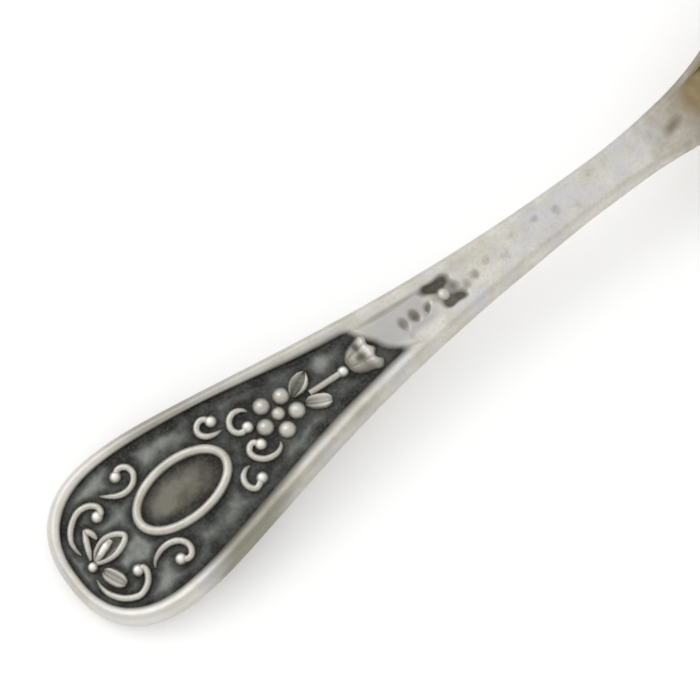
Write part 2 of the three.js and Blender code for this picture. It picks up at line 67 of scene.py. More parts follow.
TIP_LENGTH = 6.0
TIP_HALF_WIDTH = 5.7
TIP_FULLNESS = 2.4
NECK_AT = 42.0
NECK_HALF_WIDTH = 1.58
NECK_TUCK = 0.2
TIP_RIM_STEP = 0.2
TAPER_BULGE = 5.9
TAPER_WAIST = 20.0
SEAM_AT = 48.0
ARCH_LENGTH = 24.0
STEM_LENGTH = SEAM_AT - ARCH_LENGTH
STEM_PITCH = math.radians(3.4)
NECK_PITCH = math.radians(2.6)
TIP_THICKNESS = 1.55
NECK_THICKNESS = 1.9
EDGE_ROUND = 0.45
EDGE_FALL = 0.54
TIP_WEAR = 0.06
FACE_HEIGHT = 6.4
RIM_WIDTH = 1.05
RIM_SPREAD = 0.28
PANEL_DEPTH = 0.42
PANEL_END = 31.2
PANEL_FADE = 9.0
PANEL_DRIFT = 0.13
SET_OFF = 0.22
CHAIN_START = 22.0
WORN_FROM = 23.86
WORN_EDGE = 0.9
WORN_SHARE = 0.94
HOLLOW_DEPTH = 0.7
POCKETS_FROM = 28.2
HAMMER_DEPTH = 0.012
DROP_LENGTH = 6.5
DROP_EDGE = 0.2
SOLDER_GAP = 0.02
BOWL_LENGTH = 21.2
WIDEST_AT = 59.6
BOWL_HALF_WIDTH = 7.0
BOWL_DEPTH = 5.8
BOWL_WALL = 0.6
BOWL_FULLNESS = 0.7
FLAT_DEPTH = 0.35
SHOULDER_WAIST = 15.5
SHOULDER_BULGE = 5.0


# A value's smooth rise from 0 to 1 between two places, and its fall from 1 to 0.
def rising(value, low, high):
    share = np.clip((np.asarray(value, float) - low) / (high - low), 0.0, 1.0)
    return share * share * (3.0 - 2.0 * share)


def falling(value, low, high):
    return 1.0 - rising(value, low, high)


# How far inside a round or oval spot a point lies: 1 in its middle and 0 outside it.
# The fall runs between two shares of the spot's radius.
def in_spot(along, across, spot, inner, outer):
    middle, off, long_radius, wide_radius = spot
    apart = np.hypot((along - middle) / long_radius, (across - off) / wide_radius)
    return falling(apart, inner, outer)


def bezier(points, places):
    p = np.array(points, float)
    t = np.asarray(places, float)[..., None]
    s = 1.0 - t
    return s**3 * p[0] + 3 * s**2 * t * p[1] + 3 * s * t**2 * p[2] + t**3 * p[3]


def quarter_turn(steps):
    return np.linspace(0.0, math.pi / 2, steps + 1)


TAPER = [
    (TIP_LENGTH, TIP_HALF_WIDTH),
    (TIP_LENGTH + TAPER_BULGE, TIP_HALF_WIDTH),
    (NECK_AT - TAPER_WAIST, NECK_HALF_WIDTH),
    (NECK_AT, NECK_HALF_WIDTH),
]
SHOULDER = [
    (NECK_AT, NECK_HALF_WIDTH),
    (NECK_AT + SHOULDER_WAIST, NECK_HALF_WIDTH),
    (WIDEST_AT - SHOULDER_BULGE, BOWL_HALF_WIDTH),
    (WIDEST_AT, BOWL_HALF_WIDTH),
]
fine_steps = np.linspace(0.0, 1.0, 3001)
shoulder_line = bezier(SHOULDER, fine_steps)
side_line = np.vstack([bezier(TAPER, fine_steps), shoulder_line[1:]])


def half_width(along):
    return np.interp(along, side_line[:, 0], side_line[:, 1])


def arc(start, end, length, along):
    pitch = start + (end - start) * along / length
    radius = length / (start - end)
    ahead = radius * (np.sin(start) - np.sin(pitch))
    return ahead, radius * (np.cos(pitch) - np.cos(start)), pitch


# The tip is bent down just as far as lets it rest on the table.
stem_end = arc(STEM_PITCH, NECK_PITCH, STEM_LENGTH, STEM_LENGTH)


def tip_sag(pitch):
    arch_rise = arc(pitch, STEM_PITCH, ARCH_LENGTH, ARCH_LENGTH)[1]
    thickness = TIP_THICKNESS * math.cos(pitch) - EDGE_ROUND * math.sin(pitch) - TIP_WEAR
    return arch_rise + stem_end[1] + thickness - FACE_HEIGHT


flatter, steeper = STEM_PITCH + 0.01, 0.8
for halving in range(50):
    tip_pitch = (flatter + steeper) / 2
    if tip_sag(tip_pitch) < 0:
        flatter = tip_pitch
    else:
        steeper = tip_pitch
arch_end = arc(tip_pitch, STEM_PITCH, ARCH_LENGTH, ARCH_LENGTH)
tip_top = FACE_HEIGHT - stem_end[1] - arch_end[1]
seam_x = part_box("bowl")[1].x * 1000.0 - BOWL_LENGTH
tip_x = seam_x - arch_end[0] - stem_end[0]


# Where a point of the handle's face lies in the spoon's own frame, in millimetres.
def on_face(along, across, height):
    along = np.asarray(along, float)
    arch_x, arch_z, arch_pitch = arc(tip_pitch, STEM_PITCH, ARCH_LENGTH, along)
    on_stem = np.minimum(along, SEAM_AT) - ARCH_LENGTH
    stem_x, stem_z, stem_pitch = arc(STEM_PITCH, NECK_PITCH, STEM_LENGTH, on_stem)
    past_seam = np.maximum(0.0, along - SEAM_AT)
    arched = along < ARCH_LENGTH
    x = tip_x + np.where(arched, arch_x, arch_end[0] + stem_x + past_seam)
    z = tip_top + np.where(arched, arch_z, arch_end[1] + stem_z)
    pitch = np.where(arched, arch_pitch, np.where(along > SEAM_AT, 0.0, stem_pitch))
    across = np.asarray(across, float) + np.zeros_like(along)
    z = np.maximum(0.0, z + height * np.cos(pitch))
    return np.stack([x - height * np.sin(pitch), across, z], -1)


# The panel and its ornament bow off the mid line between the tip and the husks.
def bow(along):
    return SET_OFF * np.sin(math.pi * np.clip(along / CHAIN_START, 0.0, 1.0))


# The panel itself stays off the mid line as far as the husks, and its rim widens along the taper.
def panel_shift(along):
    return bow(along) + PANEL_DRIFT * rising(along, 8.0, 14.0) * falling(along, 24.0, 31.0)


def rim_growth(along):
    return RIM_SPREAD * rising(along, 13.0, 20.5)


# The worn husks are parted by nicks, with a faint line along their left and pockets round the last
# ball. Each hollow has its place along and across, half length, half width, turn and depth.
HOLLOWS = [
    (26.10, 1.27, 3.00, 0.24, -5, 0.30),
    (26.33, -0.08, 0.32, 0.60, 4, 0.36),
    (27.20, -0.04, 0.32, 0.56, 8, 0.48),
    (28.15, -0.16, 0.20, 0.52, -45, 0.45),
    (29.44, 0.76, 1.05, 0.46, 0, 1.0),
    (28.80, 0.86, 0.60, 0.32, -12, 0.5),
    (29.60, -0.62, 0.62, 0.42, 0, 1.0),
    (30.30, -0.80, 0.60, 0.36, 10, 0.7),
    (30.32, -0.10, 0.40, 0.85, 8, 0.40),
    (29.50, 0.02, 0.85, 0.70, 0, 0.44),
]


# They run into one another, and the pockets' outlines waver a little, as wear leaves them.
def hollow_share(along, across):
    waver = rising(along, POCKETS_FROM, POCKETS_FROM + 0.6)
    worn_along = along + 0.07 * waver * np.sin(5.0 * across + 2.0 * along)
    worn_across = across + 0.06 * waver * np.sin(4.3 * along + 1.0)
    level = 1.0
    for middle, off, half_length, half_across, degrees, deep in HOLLOWS:
        turn = math.radians(degrees)
        ahead, aside = worn_along - middle, worn_across - off
        lengthways = ahead * math.cos(turn) + aside * math.sin(turn)
        crossways = aside * math.cos(turn) - ahead * math.sin(turn)
        spot = (0.0, 0.0, half_length, half_across)
        level = level * (1.0 - deep * in_spot(lengthways, crossways, spot, 0.2, 1.4))
    return 1.0 - level


# How deep the panel lies under its rim, as a share: full round the ornament, almost level among
# the husks. Between them it ends on a slant that is drawn out on the right.
def panel_share(along, across):
    slant = 0.45 * across + 0.35 * np.clip(across - 0.2, 0.0, 0.8)
    drawn_out = 0.75 * np.minimum(across + 0.35, 0.0)**2
    worn = rising(along + slant - drawn_out, WORN_FROM, WORN_FROM + WORN_EDGE)
    share = np.maximum(1.0 - WORN_SHARE * worn, HOLLOW_DEPTH * hollow_share(along, across))
    return share * falling(along, PANEL_END, PANEL_END + PANEL_FADE)


# The edge is walked from the tip along the left side, out over the drop, and back on the right.
# The stretches of the stem are closer stepped where the husks are worn.
TIP_STEPS = 64
DROP_STEPS = 14
STRETCHES = [(TIP_LENGTH, 23.0, 130), (23.0, PANEL_END, 130), (PANEL_END, SEAM_AT, 110)]
stem_places = np.concatenate([np.linspace(*stretch)[1:] for stretch in STRETCHES])
STEM_COUNT = TIP_STEPS + 1 + len(stem_places)


def handle_edge(inset):
    turn = quarter_turn(TIP_STEPS)
    power = 2.0 / TIP_FULLNESS
    tip = np.stack([
        TIP_LENGTH - (TIP_LENGTH - inset) * np.clip(np.cos(turn), 0.0, 1.0)**power,
        (TIP_HALF_WIDTH - inset) * np.sin(turn)**power,
    ], -1)
    stem = np.stack([stem_places, half_width(stem_places) - inset], -1)
    sweep = quarter_turn(DROP_STEPS)
    root = half_width(SEAM_AT) - inset
    drop = np.stack([SEAM_AT + DROP_LENGTH * np.sin(sweep), root * np.cos(sweep)], -1)
    drop[-1, 1] = 0.0
    return np.vstack([tip, stem, drop])


# The drop's upper side is filed to the round of the bowl's back.
def drop_seat(along, across):
    heelward = (WIDEST_AT - along) / (WIDEST_AT - SEAM_AT)
    fall = (BOWL_DEPTH + FLAT_DEPTH) * (1.0 + np.cos(math.pi * heelward)) / 2
    rounded = np.clip(1.0 - (across / half_width(along))**2, 0.0, 1.0)**BOWL_FULLNESS
    return BOWL_DEPTH - fall * rounded - FACE_HEIGHT - SOLDER_GAP


# One closed loop of the handle's skin, a distance in from its edge, as along, across and height.
def skin_loop(inset, kind, share):
    edge = handle_edge(inset)
    on_drop = np.arange(len(edge)) >= STEM_COUNT
    root = NECK_THICKNESS - BOWL_WALL
    halves = []
    for side in (1.0, -1.0):
        along, across = edge[:, 0], side * edge[:, 1]
        bottom = -(TIP_THICKNESS + (NECK_THICKNESS - TIP_THICKNESS) * along / SEAM_AT)
        thinned = np.clip((along - SEAM_AT) / DROP_LENGTH, 0.0, 1.0)
        thickness = root + (DROP_EDGE - root) * thinned**2
        if kind == "lower edge":
            across = across * (1.0 - NECK_TUCK * rising(along, 34.0, 45.0) * (1.0 - 0.4 * share))
            stem = bottom + EDGE_ROUND * share
            seat = drop_seat(along, across)
            drop = seat - thickness + EDGE_ROUND * share * thickness / root
        elif kind == "outer rim":
            fall = EDGE_FALL * bottom
            stem = share * (fall - (fall + RIM_WIDTH / 2) * rising(along, NECK_AT, SEAM_AT))
            drop = drop_seat(along, across)
        else:
            across = across + (panel_shift(along) - side * rim_growth(along)) * share
            along = along - TIP_RIM_STEP * share * falling(along, 1.0, 4.5)
            stem = -PANEL_DEPTH * panel_share(along, across) * share
            drop = drop_seat(along, across)
        halves.append(np.stack([along, across, np.where(on_drop, drop, stem)], -1))
    return np.vstack([halves[0], halves[1][-2:0:-1]])


# The skin, from the rounded lower edge over the rim's outer half and down its inner half.
handle_flat, handle_faces, loop_starts, inside_rim = [], [], [], []


def add_loop(inset, kind, share):
    loop_starts.append(len(handle_flat))
    loop = skin_loop(inset, kind, share)
    handle_flat.extend(loop)
    inside_rim.extend([kind == "inner rim"] * len(loop))


for turn in quarter_turn(6):
    add_loop(EDGE_ROUND * (1 - math.sin(turn)), "lower edge", 1 - math.cos(turn))
for turn in quarter_turn(12):
    add_loop(RIM_WIDTH / 2 * (1 - math.cos(turn)), "outer rim", 1 - math.sin(turn))
for turn in quarter_turn(12)[1:]:
    add_loop(RIM_WIDTH / 2 * (1 + math.sin(turn)), "inner rim", 1 - math.cos(turn))
EDGE_COUNT = len(handle_edge(0.0))
LOOP_COUNT = 2 * EDGE_COUNT - 2
for low, high in zip(loop_starts, loop_starts[1:]):
    for i in range(LOOP_COUNT):
        following = (i + 1) % LOOP_COUNT
        handle_faces.append((low + i, high + i, high + following, low + following))


# A flat part from one side of a loop to the other, in rows of small faces across the handle.
def close_across(loop_start, columns, on_panel):
    rows = []
    for i in range(EDGE_COUNT):
        left = loop_start + i
        right = loop_start + (LOOP_COUNT - i) % LOOP_COUNT
        if left == right:
            rows.append([left] * (columns + 1))
            continue
        row = [left]
        for share in np.linspace(0.0, 1.0, columns + 1)[1:-1]:
            row.append(len(handle_flat))
            point = handle_flat[left] * (1 - share) + handle_flat[right] * share
            if on_panel and i < STEM_COUNT:
                point[2] = -PANEL_DEPTH * panel_share(point[0], point[1])
            elif on_panel:
                point[2] = drop_seat(point[0], point[1])
            handle_flat.append(point)
            inside_rim.append(on_panel)
        rows.append(row + [right])
    for upper, lower in zip(rows, rows[1:]):
        for j in range(columns):
            corners = [upper[j], lower[j], lower[j + 1], upper[j + 1]]
            corners = [c for k, c in enumerate(corners) if c not in corners[:k]]
            if len(corners) > 2:
                handle_faces.append(corners if on_panel else corners[::-1])


close_across(loop_starts[0], 10, on_panel=False)
close_across(loop_starts[-1], 60, on_panel=True)

# Faint hammering is left on the bar, but not where it rests on the table.
face_along, face_across, face_height = np.array(handle_flat).T
handle_points = on_face(face_along, face_across, face_height)
x, y, z = handle_points.T
hammering = 0.5 * np.sin(1.1 * x + 0.8 * y) + 0.3 * np.sin(2.3 * x - 1.7 * y + 1.0)
hammering = hammering + 0.2 * np.sin(3.9 * y + 0.7 * x)
handle_points[:, 2] = np.where(z > 0.3, z + HAMMER_DEPTH * hammering, z)


def placed(name, data):
    piece = bpy.data.objects.new(name, data)
    bpy.context.scene.collection.objects.link(piece)
    return piece


def paint(piece, name, values):
    layer = piece.data.attributes.new(name, "FLOAT", "POINT")
    layer.data.foreach_set("value", np.asarray(values, np.float32))


def wire_up(node, wires):
    for name, value in wires.items():
        value = getattr(value, "socket", value)
        if isinstance(value, bpy.types.NodeSocket):
            node.id_data.links.new(value, node.inputs[name])
        else:
            node.inputs[name].default_value = value


# A new node, in a tree or beside one of its nodes or sockets.
def add_node(near, kind, wires=None, **settings):
    node = near.id_data.nodes.new(kind)
    for name, value in settings.items():
        setattr(node, name, value)
    wire_up(node, wires or {})
    return node


def result(near, kind, wires=None, **settings):
    return add_node(near, kind, wires, **settings).outputs[0]


# A ramp between colours or greys, each with its place from 0 to 1.
def ramp(factor, *stops):
    node = add_node(factor, "ShaderNodeValToRGB", {"Fac": factor})
    elements = node.color_ramp.elements
    while len(elements) < len(stops):
        elements.new(0.5)
    for element, (place, colour) in zip(elements, stops):
        element.position = place
        element.color = (*(colour if isinstance(colour, tuple) else (colour,) * 3), 1.0)
    return node.outputs["Color"]


def mixed(factor, first, second):
    near = first if isinstance(second, tuple) else second
    node = add_node(near, "ShaderNodeMix", data_type="RGBA")
    first, second = ((*c, 1.0) if isinstance(c, tuple) else c for c in (first, second))
    wire_up(node, {0: factor, 6: first, 7: second})
    return node.outputs[2]


def noise(places, scale, detail, roughness=0.55):
    wires = {"Vector": places, "Scale": scale, "Detail": detail, "Roughness": roughness}
    return add_node(places, "ShaderNodeTexNoise", wires).outputs["Fac"]


def painted(near, name):
    return add_node(near, "ShaderNodeAttribute", attribute_name=name).outputs["Fac"]


SCRATCH_DEPTH = 0.000012
SHADED_SILVER = (0.52, 0.497, 0.435)
WARM_SILVER = (0.67, 0.65, 0.60)
COOL_SILVER = (0.585, 0.58, 0.605)
GRIMY_SILVER = (0.42, 0.39, 0.34)


# Rubbed silver: a warm grey with cooler clouds in it, finely scratched along the spoon.
def rubbed_silver(name, coolness):
    material = bpy.data.materials.new(name)
    material.use_nodes = True
    tree = material.node_tree
    shader = tree.nodes["Principled BSDF"]
    spoon = add_node(tree, "ShaderNodeTexCoord").outputs["Object"]
    places = result(tree, "ShaderNodeMapping", {"Vector": spoon, "Scale": (1000, 1000, 1000)})
    drawn = result(tree, "ShaderNodeMapping", {
        "Vector": spoon, "Scale": (260, 5200, 5200), "Rotation": (0, 0, math.radians(3)),
    })
    clouds = noise(places, 0.62, 3.0)
    cool = noise(places, 0.42, 2.0)
    grain = noise(places, 5.0, 5.0, 0.6)
    scratches = noise(drawn, 1.0, 3.0, 0.5)
    colour = ramp(clouds, (0.32, SHADED_SILVER), (0.68, WARM_SILVER))
    colour = mixed(ramp(cool, (0.48, 0.0), (0.66, coolness)), colour, COOL_SILVER)
    colour = mixed(ramp(grain, (0.3, 0.3), (0.52, 0.0)), colour, GRIMY_SILVER)
    rough = ramp(mixed(0.5, clouds, scratches), (0.3, 0.4), (0.7, 0.54))
    relief = mixed(0.4, scratches, grain)
    return material, shader, places, colour, rough, grain, relief


# Puts the looks on a shader, and the scratches as a shallow bump.
def dress(shader, relief, looks):
    wires = {"Height": relief, "Distance": SCRATCH_DEPTH, "Strength": 0.6}
    scratched = result(shader, "ShaderNodeBump", wires)
    wire_up(shader, {**looks, "Normal": scratched})


HEEL_STARTS = -4.2
HEEL_ENDS = 8.8
HEEL_BROWN = (0.235, 0.182, 0.112)
MARK_BROWN = (0.16, 0.142, 0.1)


# The heel is stained brown from the salt, little by little, on the stem and on the bowl alike,
# and one darker mark lies across the seam.
def heel_stained(places, colour):
    split = add_node(places, "ShaderNodeSeparateXYZ", {0: places}).outputs
    wires = {0: split["Y"], 1: 0.2, 2: split["X"]}
    slanted = result(places, "ShaderNodeMath", wires, operation="MULTIPLY_ADD")
    heelward = result(places, "ShaderNodeMapRange", {
        "Value": slanted, "From Min": seam_x + HEEL_STARTS, "From Max": seam_x + HEEL_ENDS,
    })
    spots = noise(places, 1.3, 4.0, 0.6)
    by_heel = ramp(heelward, (0.0, 0.0), (0.40, 1.0), (0.73, 1.0), (1.0, 0.0))
    stain = ramp(mixed(0.5, by_heel, spots), (0.35, 0.0), (0.75, 0.62))
    colour = mixed(stain, colour, HEEL_BROWN)
    mark = result(places, "ShaderNodeMapping", {
        "Vector": places, "Location": (seam_x - 0.4, -0.08, FACE_HEIGHT),
        "Rotation": (0, 0, math.radians(20)), "Scale": (1.15, 0.5, 3.0),
    }, vector_type="TEXTURE")
    apart = add_node(places, "ShaderNodeVectorMath", {0: mark}, operation="LENGTH").outputs["Value"]
    marked = ramp(mixed(0.35, apart, spots), (0.3, 0.75), (0.8, 0.0))
    return mixed(marked, colour, MARK_BROWN)


# The panel's ground is darkened with oxide: almost black at the foot of the rim and of every
# ornament, slate grey where a cloth reaches, and browner in the oval frame and among the husks. The
# same ramps also carry a painted sheen at the tip, a painted highlight beside the tip leaf and
# painted shade under the left rim.
SLATES = [
    (0.14, (0.018, 0.018, 0.0155)), (0.45, (0.088, 0.092, 0.084)), (0.8, (0.25, 0.263, 0.245))]
UMBERS = [
    (0.18, (0.022, 0.021, 0.017)), (0.5, (0.092, 0.086, 0.068)), (0.8, (0.19, 0.178, 0.145))]
OXIDE_SPECKS = (0.17, 0.172, 0.165)
WORN_GREY = (0.425, 0.417, 0.41)
STAIN_BROWN = (0.2, 0.172, 0.125)
DULL_AND_SHADED_SILVER = (0.27, 0.26, 0.21)
BRIGHT_SILVER = (0.80, 0.785, 0.735)
MATT = (0.55, 0.55, 0.55)

handle_silver, shader, places, colour, rough, grain, relief = rubbed_silver(
    "oxidised_and_rubbed_silver", 0.8)
patches = noise(places, 0.8, 4.0, 0.6)
blots = noise(places, 2.0, 4.0, 0.65)
# The rub's reach, with a painted sheen and painted shade mixed in, sets how pale the oxide is.
reached_and_lit = mixed(0.4, painted(grain, "rub_and_light"), ramp(patches, (0.3, 0.0), (0.7, 1.0)))
slate, umber = ramp(reached_and_lit, *SLATES), ramp(reached_and_lit, *UMBERS)
oxide = mixed(painted(grain, "framed"), slate, umber)
oxide = mixed(ramp(grain, (0.45, 0.0), (0.75, 0.3)), oxide, OXIDE_SPECKS)
sunken = ramp(mixed(0.18, painted(grain, "sunk"), grain), (0.18, 0.0), (0.64, 1.0))
stain = ramp(mixed(0.5, painted(grain, "stained"), blots), (0.4, 0.0), (0.8, 0.8))
# The dimmed colour holds tarnish, and on the rim's right side and under its edge it holds painted
# shade.
dulled = ramp(mixed(0.3, painted(grain, "dulled"), patches), (0.2, 0.0), (0.85, 0.95))
colour = mixed(painted(grain, "greyed"), colour, WORN_GREY)
colour = mixed(stain, colour, STAIN_BROWN)
colour = mixed(dulled, colour, DULL_AND_SHADED_SILVER)
colour = mixed(painted(grain, "polished"), colour, BRIGHT_SILVER)
colour = heel_stained(places, colour)
dress(shader, relief, {
    "Base Color": mixed(sunken, colour, oxide),
    "Metallic": ramp(sunken, (0.0, 1.0), (1.0, 0.2)),
    "Roughness": mixed(sunken, rough, MATT),
    "Specular IOR Level": 0.2,
})

handle_mesh = bpy.data.meshes.new("forged_handle")
handle_mesh.from_pydata((handle_points / 1000.0).tolist(), [], handle_faces)
work = bmesh.new()
work.from_mesh(handle_mesh)
bmesh.ops.recalc_face_normals(work, faces=work.faces)
work.to_mesh(handle_mesh)
work.free()
handle_mesh.shade_smooth()
handle_mesh.set_sharp_from_angle(angle=math.radians(50))
handle_mesh.materials.append(handle_silver)
handle = placed("forged_handle", handle_mesh)

on_handle_face = np.array(inside_rim) & (face_along < SEAM_AT - 0.1)
darkened = np.maximum(-face_height / PANEL_DEPTH, hollow_share(face_along, face_across))
sunk = np.where(on_handle_face, np.clip(darkened, 0.0, 1.0), 0.0)
paint(handle, "sunk", sunk)

# Brown stains lie between the worn husks and along the stem. Each has its place along and across,
# its radius and its strength.
STAINS = [
    (26.33, 0.0, 0.5, 0.8), (27.2, 0.0, 0.55, 1.0), (28.12, -0.1, 0.45, 0.85),
    (30.9, -0.4, 0.6, 0.75), (26.3, -1.0, 0.4, 0.6), (31.75, -0.2, 0.5, 0.85),
    (32.9, 0.1, 0.5, 0.65), (34.1, -0.4, 0.7, 0.45), (35.2, 0.3, 0.6, 0.45),
    (36.9, 0.4, 0.45, 0.65), (38.4, 0.0, 0.5, 0.65), (39.6, -0.5, 0.6, 0.4),
    (41.6, 0.6, 0.6, 0.35), (46.6, -1.0, 0.7, 0.5), (45.9, 0.5, 0.7, 0.5),
]
stained = np.zeros(len(face_along))
for middle, off, radius, strength in STAINS:
    blot = in_spot(face_along, face_across, (middle, off, radius, radius), 0.2, 1.3)
    stained = np.maximum(stained, strength * blot)
paint(handle, "stained", stained)

# The rim is dull half way along. Painted shade darkens its right side more, most of all under its
# outer edge towards the tip, and further along that edge is painted lighter. The pad that carries
# the worn husks is greyed, and the rim round the tip is rubbed bright.
LEFT_DULLNESS = 0.72
RIGHT_SHADE = 0.28
HUSK_GREY = 0.8
mid_way = rising(face_along, 5.5, 10.0) * (1.0 - 0.68 * rising(face_along, 12.0, 17.0))
mid_way = mid_way * falling(face_along, 21.0, 27.0)
on_right = falling(face_across, -1.0, 0.0)
under_edge = np.where(on_handle_face, 0.0, rising(-face_height, 0.15, 0.7))
under_edge_shading = 0.3 - 0.75 * rising(face_along, 10.5, 15.0)
# Painted shade on the right side: darker under the outer edge towards the tip, painted lighter
# there further along.
right_side_shade = on_right * (RIGHT_SHADE + under_edge_shading * under_edge)
paint(handle, "dulled", mid_way * (LEFT_DULLNESS + right_side_shade))
on_pad = rising(face_along, 23.2, 24.0) * falling(face_along, 27.8, 29.0)
paint(handle, "greyed", HUSK_GREY * on_pad * falling(np.abs(face_across - 0.1), 0.8, 1.4))
off_middle = rising(np.abs(face_across), 1.0, 4.0)
paint(handle, "polished", (0.15 + 0.3 * off_middle) * falling(face_along, 3.0, 8.0))
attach(handle, "root")
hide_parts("handle")


# The bowl: a thin egg-shaped dish raised from sheet, soldered to the end of the stem and onto the
# drop. Its hollow is gilt against the salt, and its lip and back are left silver.
# Its shape follows one rule, section by section from the seam to the nose.

BOWL_STATIONS = 150
RING_POINTS = 131
LIP_ROUND = 0.15
LIP_HEEL = 7.0
DOUBLE_GAP = 0.0004


# A size that a node tree works out, so that the rule of a shape reads as plain arithmetic.
class Measure:
    def __init__(self, socket):
        self.socket = socket
        self.id_data = socket.id_data

    def worked(self, operation, *others):
        wires = dict(enumerate((self, *others)))
        return Measure(result(self, "ShaderNodeMath", wires, operation=operation))

    __add__ = __radd__ = partialmethod(worked, "ADD")
    __sub__ = partialmethod(worked, "SUBTRACT")
    __mul__ = __rmul__ = partialmethod(worked, "MULTIPLY")
    __truediv__ = partialmethod(worked, "DIVIDE")
    __pow__ = partialmethod(worked, "POWER")
    __abs__ = partialmethod(worked, "ABSOLUTE")
    at_least = partialmethod(worked, "MAXIMUM")
    at_most = partialmethod(worked, "MINIMUM")
    over = partialmethod(worked, "GREATER_THAN")
    sine = partialmethod(worked, "SINE")
    cosine = partialmethod(worked, "COSINE")

    def __rsub__(self, other):
        return self * -1.0 + other

    def root(self):
        return self.at_least(0.0).worked("SQRT")


def either(test, first, second):
    return second + (first - second) * test


# A tree with named sizes. It gives the tree, its incoming shape and its sizes.
def making(name, sizes):
    tree = bpy.data.node_groups.new(name, "GeometryNodeTree")
    for way in ("INPUT", "OUTPUT"):
        tree.interface.new_socket("Shape", in_out=way, socket_type="NodeSocketGeometry")
    for title, value in sizes.items():
        socket = tree.interface.new_socket(title, in_out="INPUT", socket_type="NodeSocketFloat")
        socket.default_value = value
    given = tree.nodes.new("NodeGroupInput")
    measures = {title: Measure(given.outputs[title]) for title in sizes}
    return tree, given.outputs["Shape"], measures


# Every tree ends the same way: instances made real, doubles merged, soft shading and the metal.
def finished(shape, metal):
    for kind, wires in (
            ("GeometryNodeRealizeInstances", {}),
            ("GeometryNodeMergeByDistance", {"Distance": DOUBLE_GAP}),
            ("GeometryNodeSetShadeSmooth", {}),
            ("GeometryNodeSetMaterial", {"Material": metal})):
        shape = result(shape, kind, {"Geometry": shape, **wires})
    add_node(shape, "NodeGroupOutput", {"Shape": shape})


# The plain mesh that a tree makes, with or without paths, still flat and in millimetres.
def made_by(tree, name, sizes, *paths):
    start = bpy.data.meshes.new(name)
    points, steps = [], []
    for path in paths:
        steps.extend((len(points) + i, len(points) + i + 1) for i in range(len(path) - 1))
        points.extend((along, across, 0.0) for along, across in path)
    start.from_pydata(points, steps, [])
    piece = placed(name, start)
    worker = piece.modifiers.new("making", "NODES")
    worker.node_group = tree
    for item in tree.interface.items_tree:
        if item.in_out == "INPUT" and item.name in sizes:
            worker[item.identifier] = float(sizes[item.name])
    depsgraph = bpy.context.evaluated_depsgraph_get()
    made = bpy.data.meshes.new_from_object(piece.evaluated_get(depsgraph))
    piece.modifiers.remove(worker)
    piece.data = made
    made.name = name
    bpy.data.meshes.remove(start)
    return piece


def curve_through(value, *points):
    node = add_node(value, "ShaderNodeFloatCurve", {"Value": value})
    curve = node.mapping.curves[0]
    curve.points[0].location, curve.points[1].location = points[0], points[-1]
    for place in points[1:-1]:
        curve.points.new(*place)
    for point in curve.points:
        point.handle_type = "VECTOR"
    node.mapping.update()
    return Measure(node.outputs[0])


def moved(shape, x, y, z):
    place = result(shape, "ShaderNodeCombineXYZ", {"X": x, "Y": y, "Z": z})
    return result(shape, "GeometryNodeSetPosition", {"Geometry": shape, "Position": place})


def here(near):
    place = result(near, "GeometryNodeInputPosition")
    split = add_node(near, "ShaderNodeSeparateXYZ", {0: place}).outputs
    return Measure(split["X"]), Measure(split["Y"])


def unit_grid(tree, columns, rows):
    wires = {"Size X": 1.0, "Size Y": 1.0, "Vertices X": columns, "Vertices Y": rows}
    grid = result(tree, "GeometryNodeMeshGrid", wires)
    x, y = here(tree)
    return grid, x + 0.5, y + 0.5


# Fire gilding, thin and tarnished, over the same silver.
GILDING = [(0.3, (0.21, 0.164, 0.09)), (0.5, (0.29, 0.228, 0.128)), (0.72, (0.4, 0.32, 0.188))]

gilt_silver, shader, places, colour, rough, grain, relief = rubbed_silver(
    "silver_gilt_within", 0.5)
tarnish = noise(places, 0.5, 4.0, 0.6)
worn_edge = mixed(0.4, painted(grain, "gilding"), tarnish)
coated = ramp(worn_edge, (0.3, 0.0), (0.62, 1.0))
colour = heel_stained(places, colour)
dress(shader, relief, {
    "Base Color": mixed(coated, colour, ramp(tarnish, *GILDING)),
    "Metallic": 1.0,
    "Roughness": mixed(coated, rough, ramp(tarnish, (0.3, 0.5), (0.7, 0.34))),
})

# Along the grid go the sections: the first closes the heel, then come the shoulders and the nose.
bowl_tree, shape, size = making("raised bowl", {
    "Seam": SEAM_AT, "Widest": WIDEST_AT, "Half width": BOWL_HALF_WIDTH,
    "Nose": SEAM_AT + BOWL_LENGTH - WIDEST_AT, "Depth": BOWL_DEPTH, "Wall": BOWL_WALL,
    "Flat": FLAT_DEPTH, "Lip": LIP_ROUND, "Fullness": BOWL_FULLNESS,
})
grid, station, ring = unit_grid(bowl_tree, BOWL_STATIONS, RING_POINTS)
first_step = 1.0 / (BOWL_STATIONS - 1)
walk = ((station - first_step) * (2.0 / (1.0 - first_step))).at_least(0.0)
opened = station.over(first_step / 2)
nosed = walk.over(1.0)
seam_share = float(np.interp(SEAM_AT, shoulder_line[:, 0], fine_steps))
place = seam_share + walk.at_most(1.0) * (1.0 - seam_share)
back = 1.0 - place
terms = [back * back * back, 3.0 * back * back * place, 3.0 * back * place * place,
         place * place * place]
shoulder_x = sum((term * point[0] for term, point in zip(terms, SHOULDER)), 0.0)
shoulder_y = sum((term * point[1] for term, point in zip(terms, SHOULDER)), 0.0)
run = (3.0 * back * back * SHOULDER_WAIST + 3.0 * place * place * SHOULDER_BULGE
       + 6.0 * back * place * (SHOULDER[2][0] - SHOULDER[1][0]))
climb = 6.0 * back * place * (BOWL_HALF_WIDTH - NECK_HALF_WIDTH)
slant = (1.0 + (climb / run) ** 2.0).root()
nose_x = size["Widest"] + ((walk - 1.0) * (math.pi / 2)).sine() * size["Nose"]
along = either(nosed, nose_x, shoulder_x)
heel = 1.0 - ((along - size["Seam"]) / LIP_HEEL).at_most(1.0)
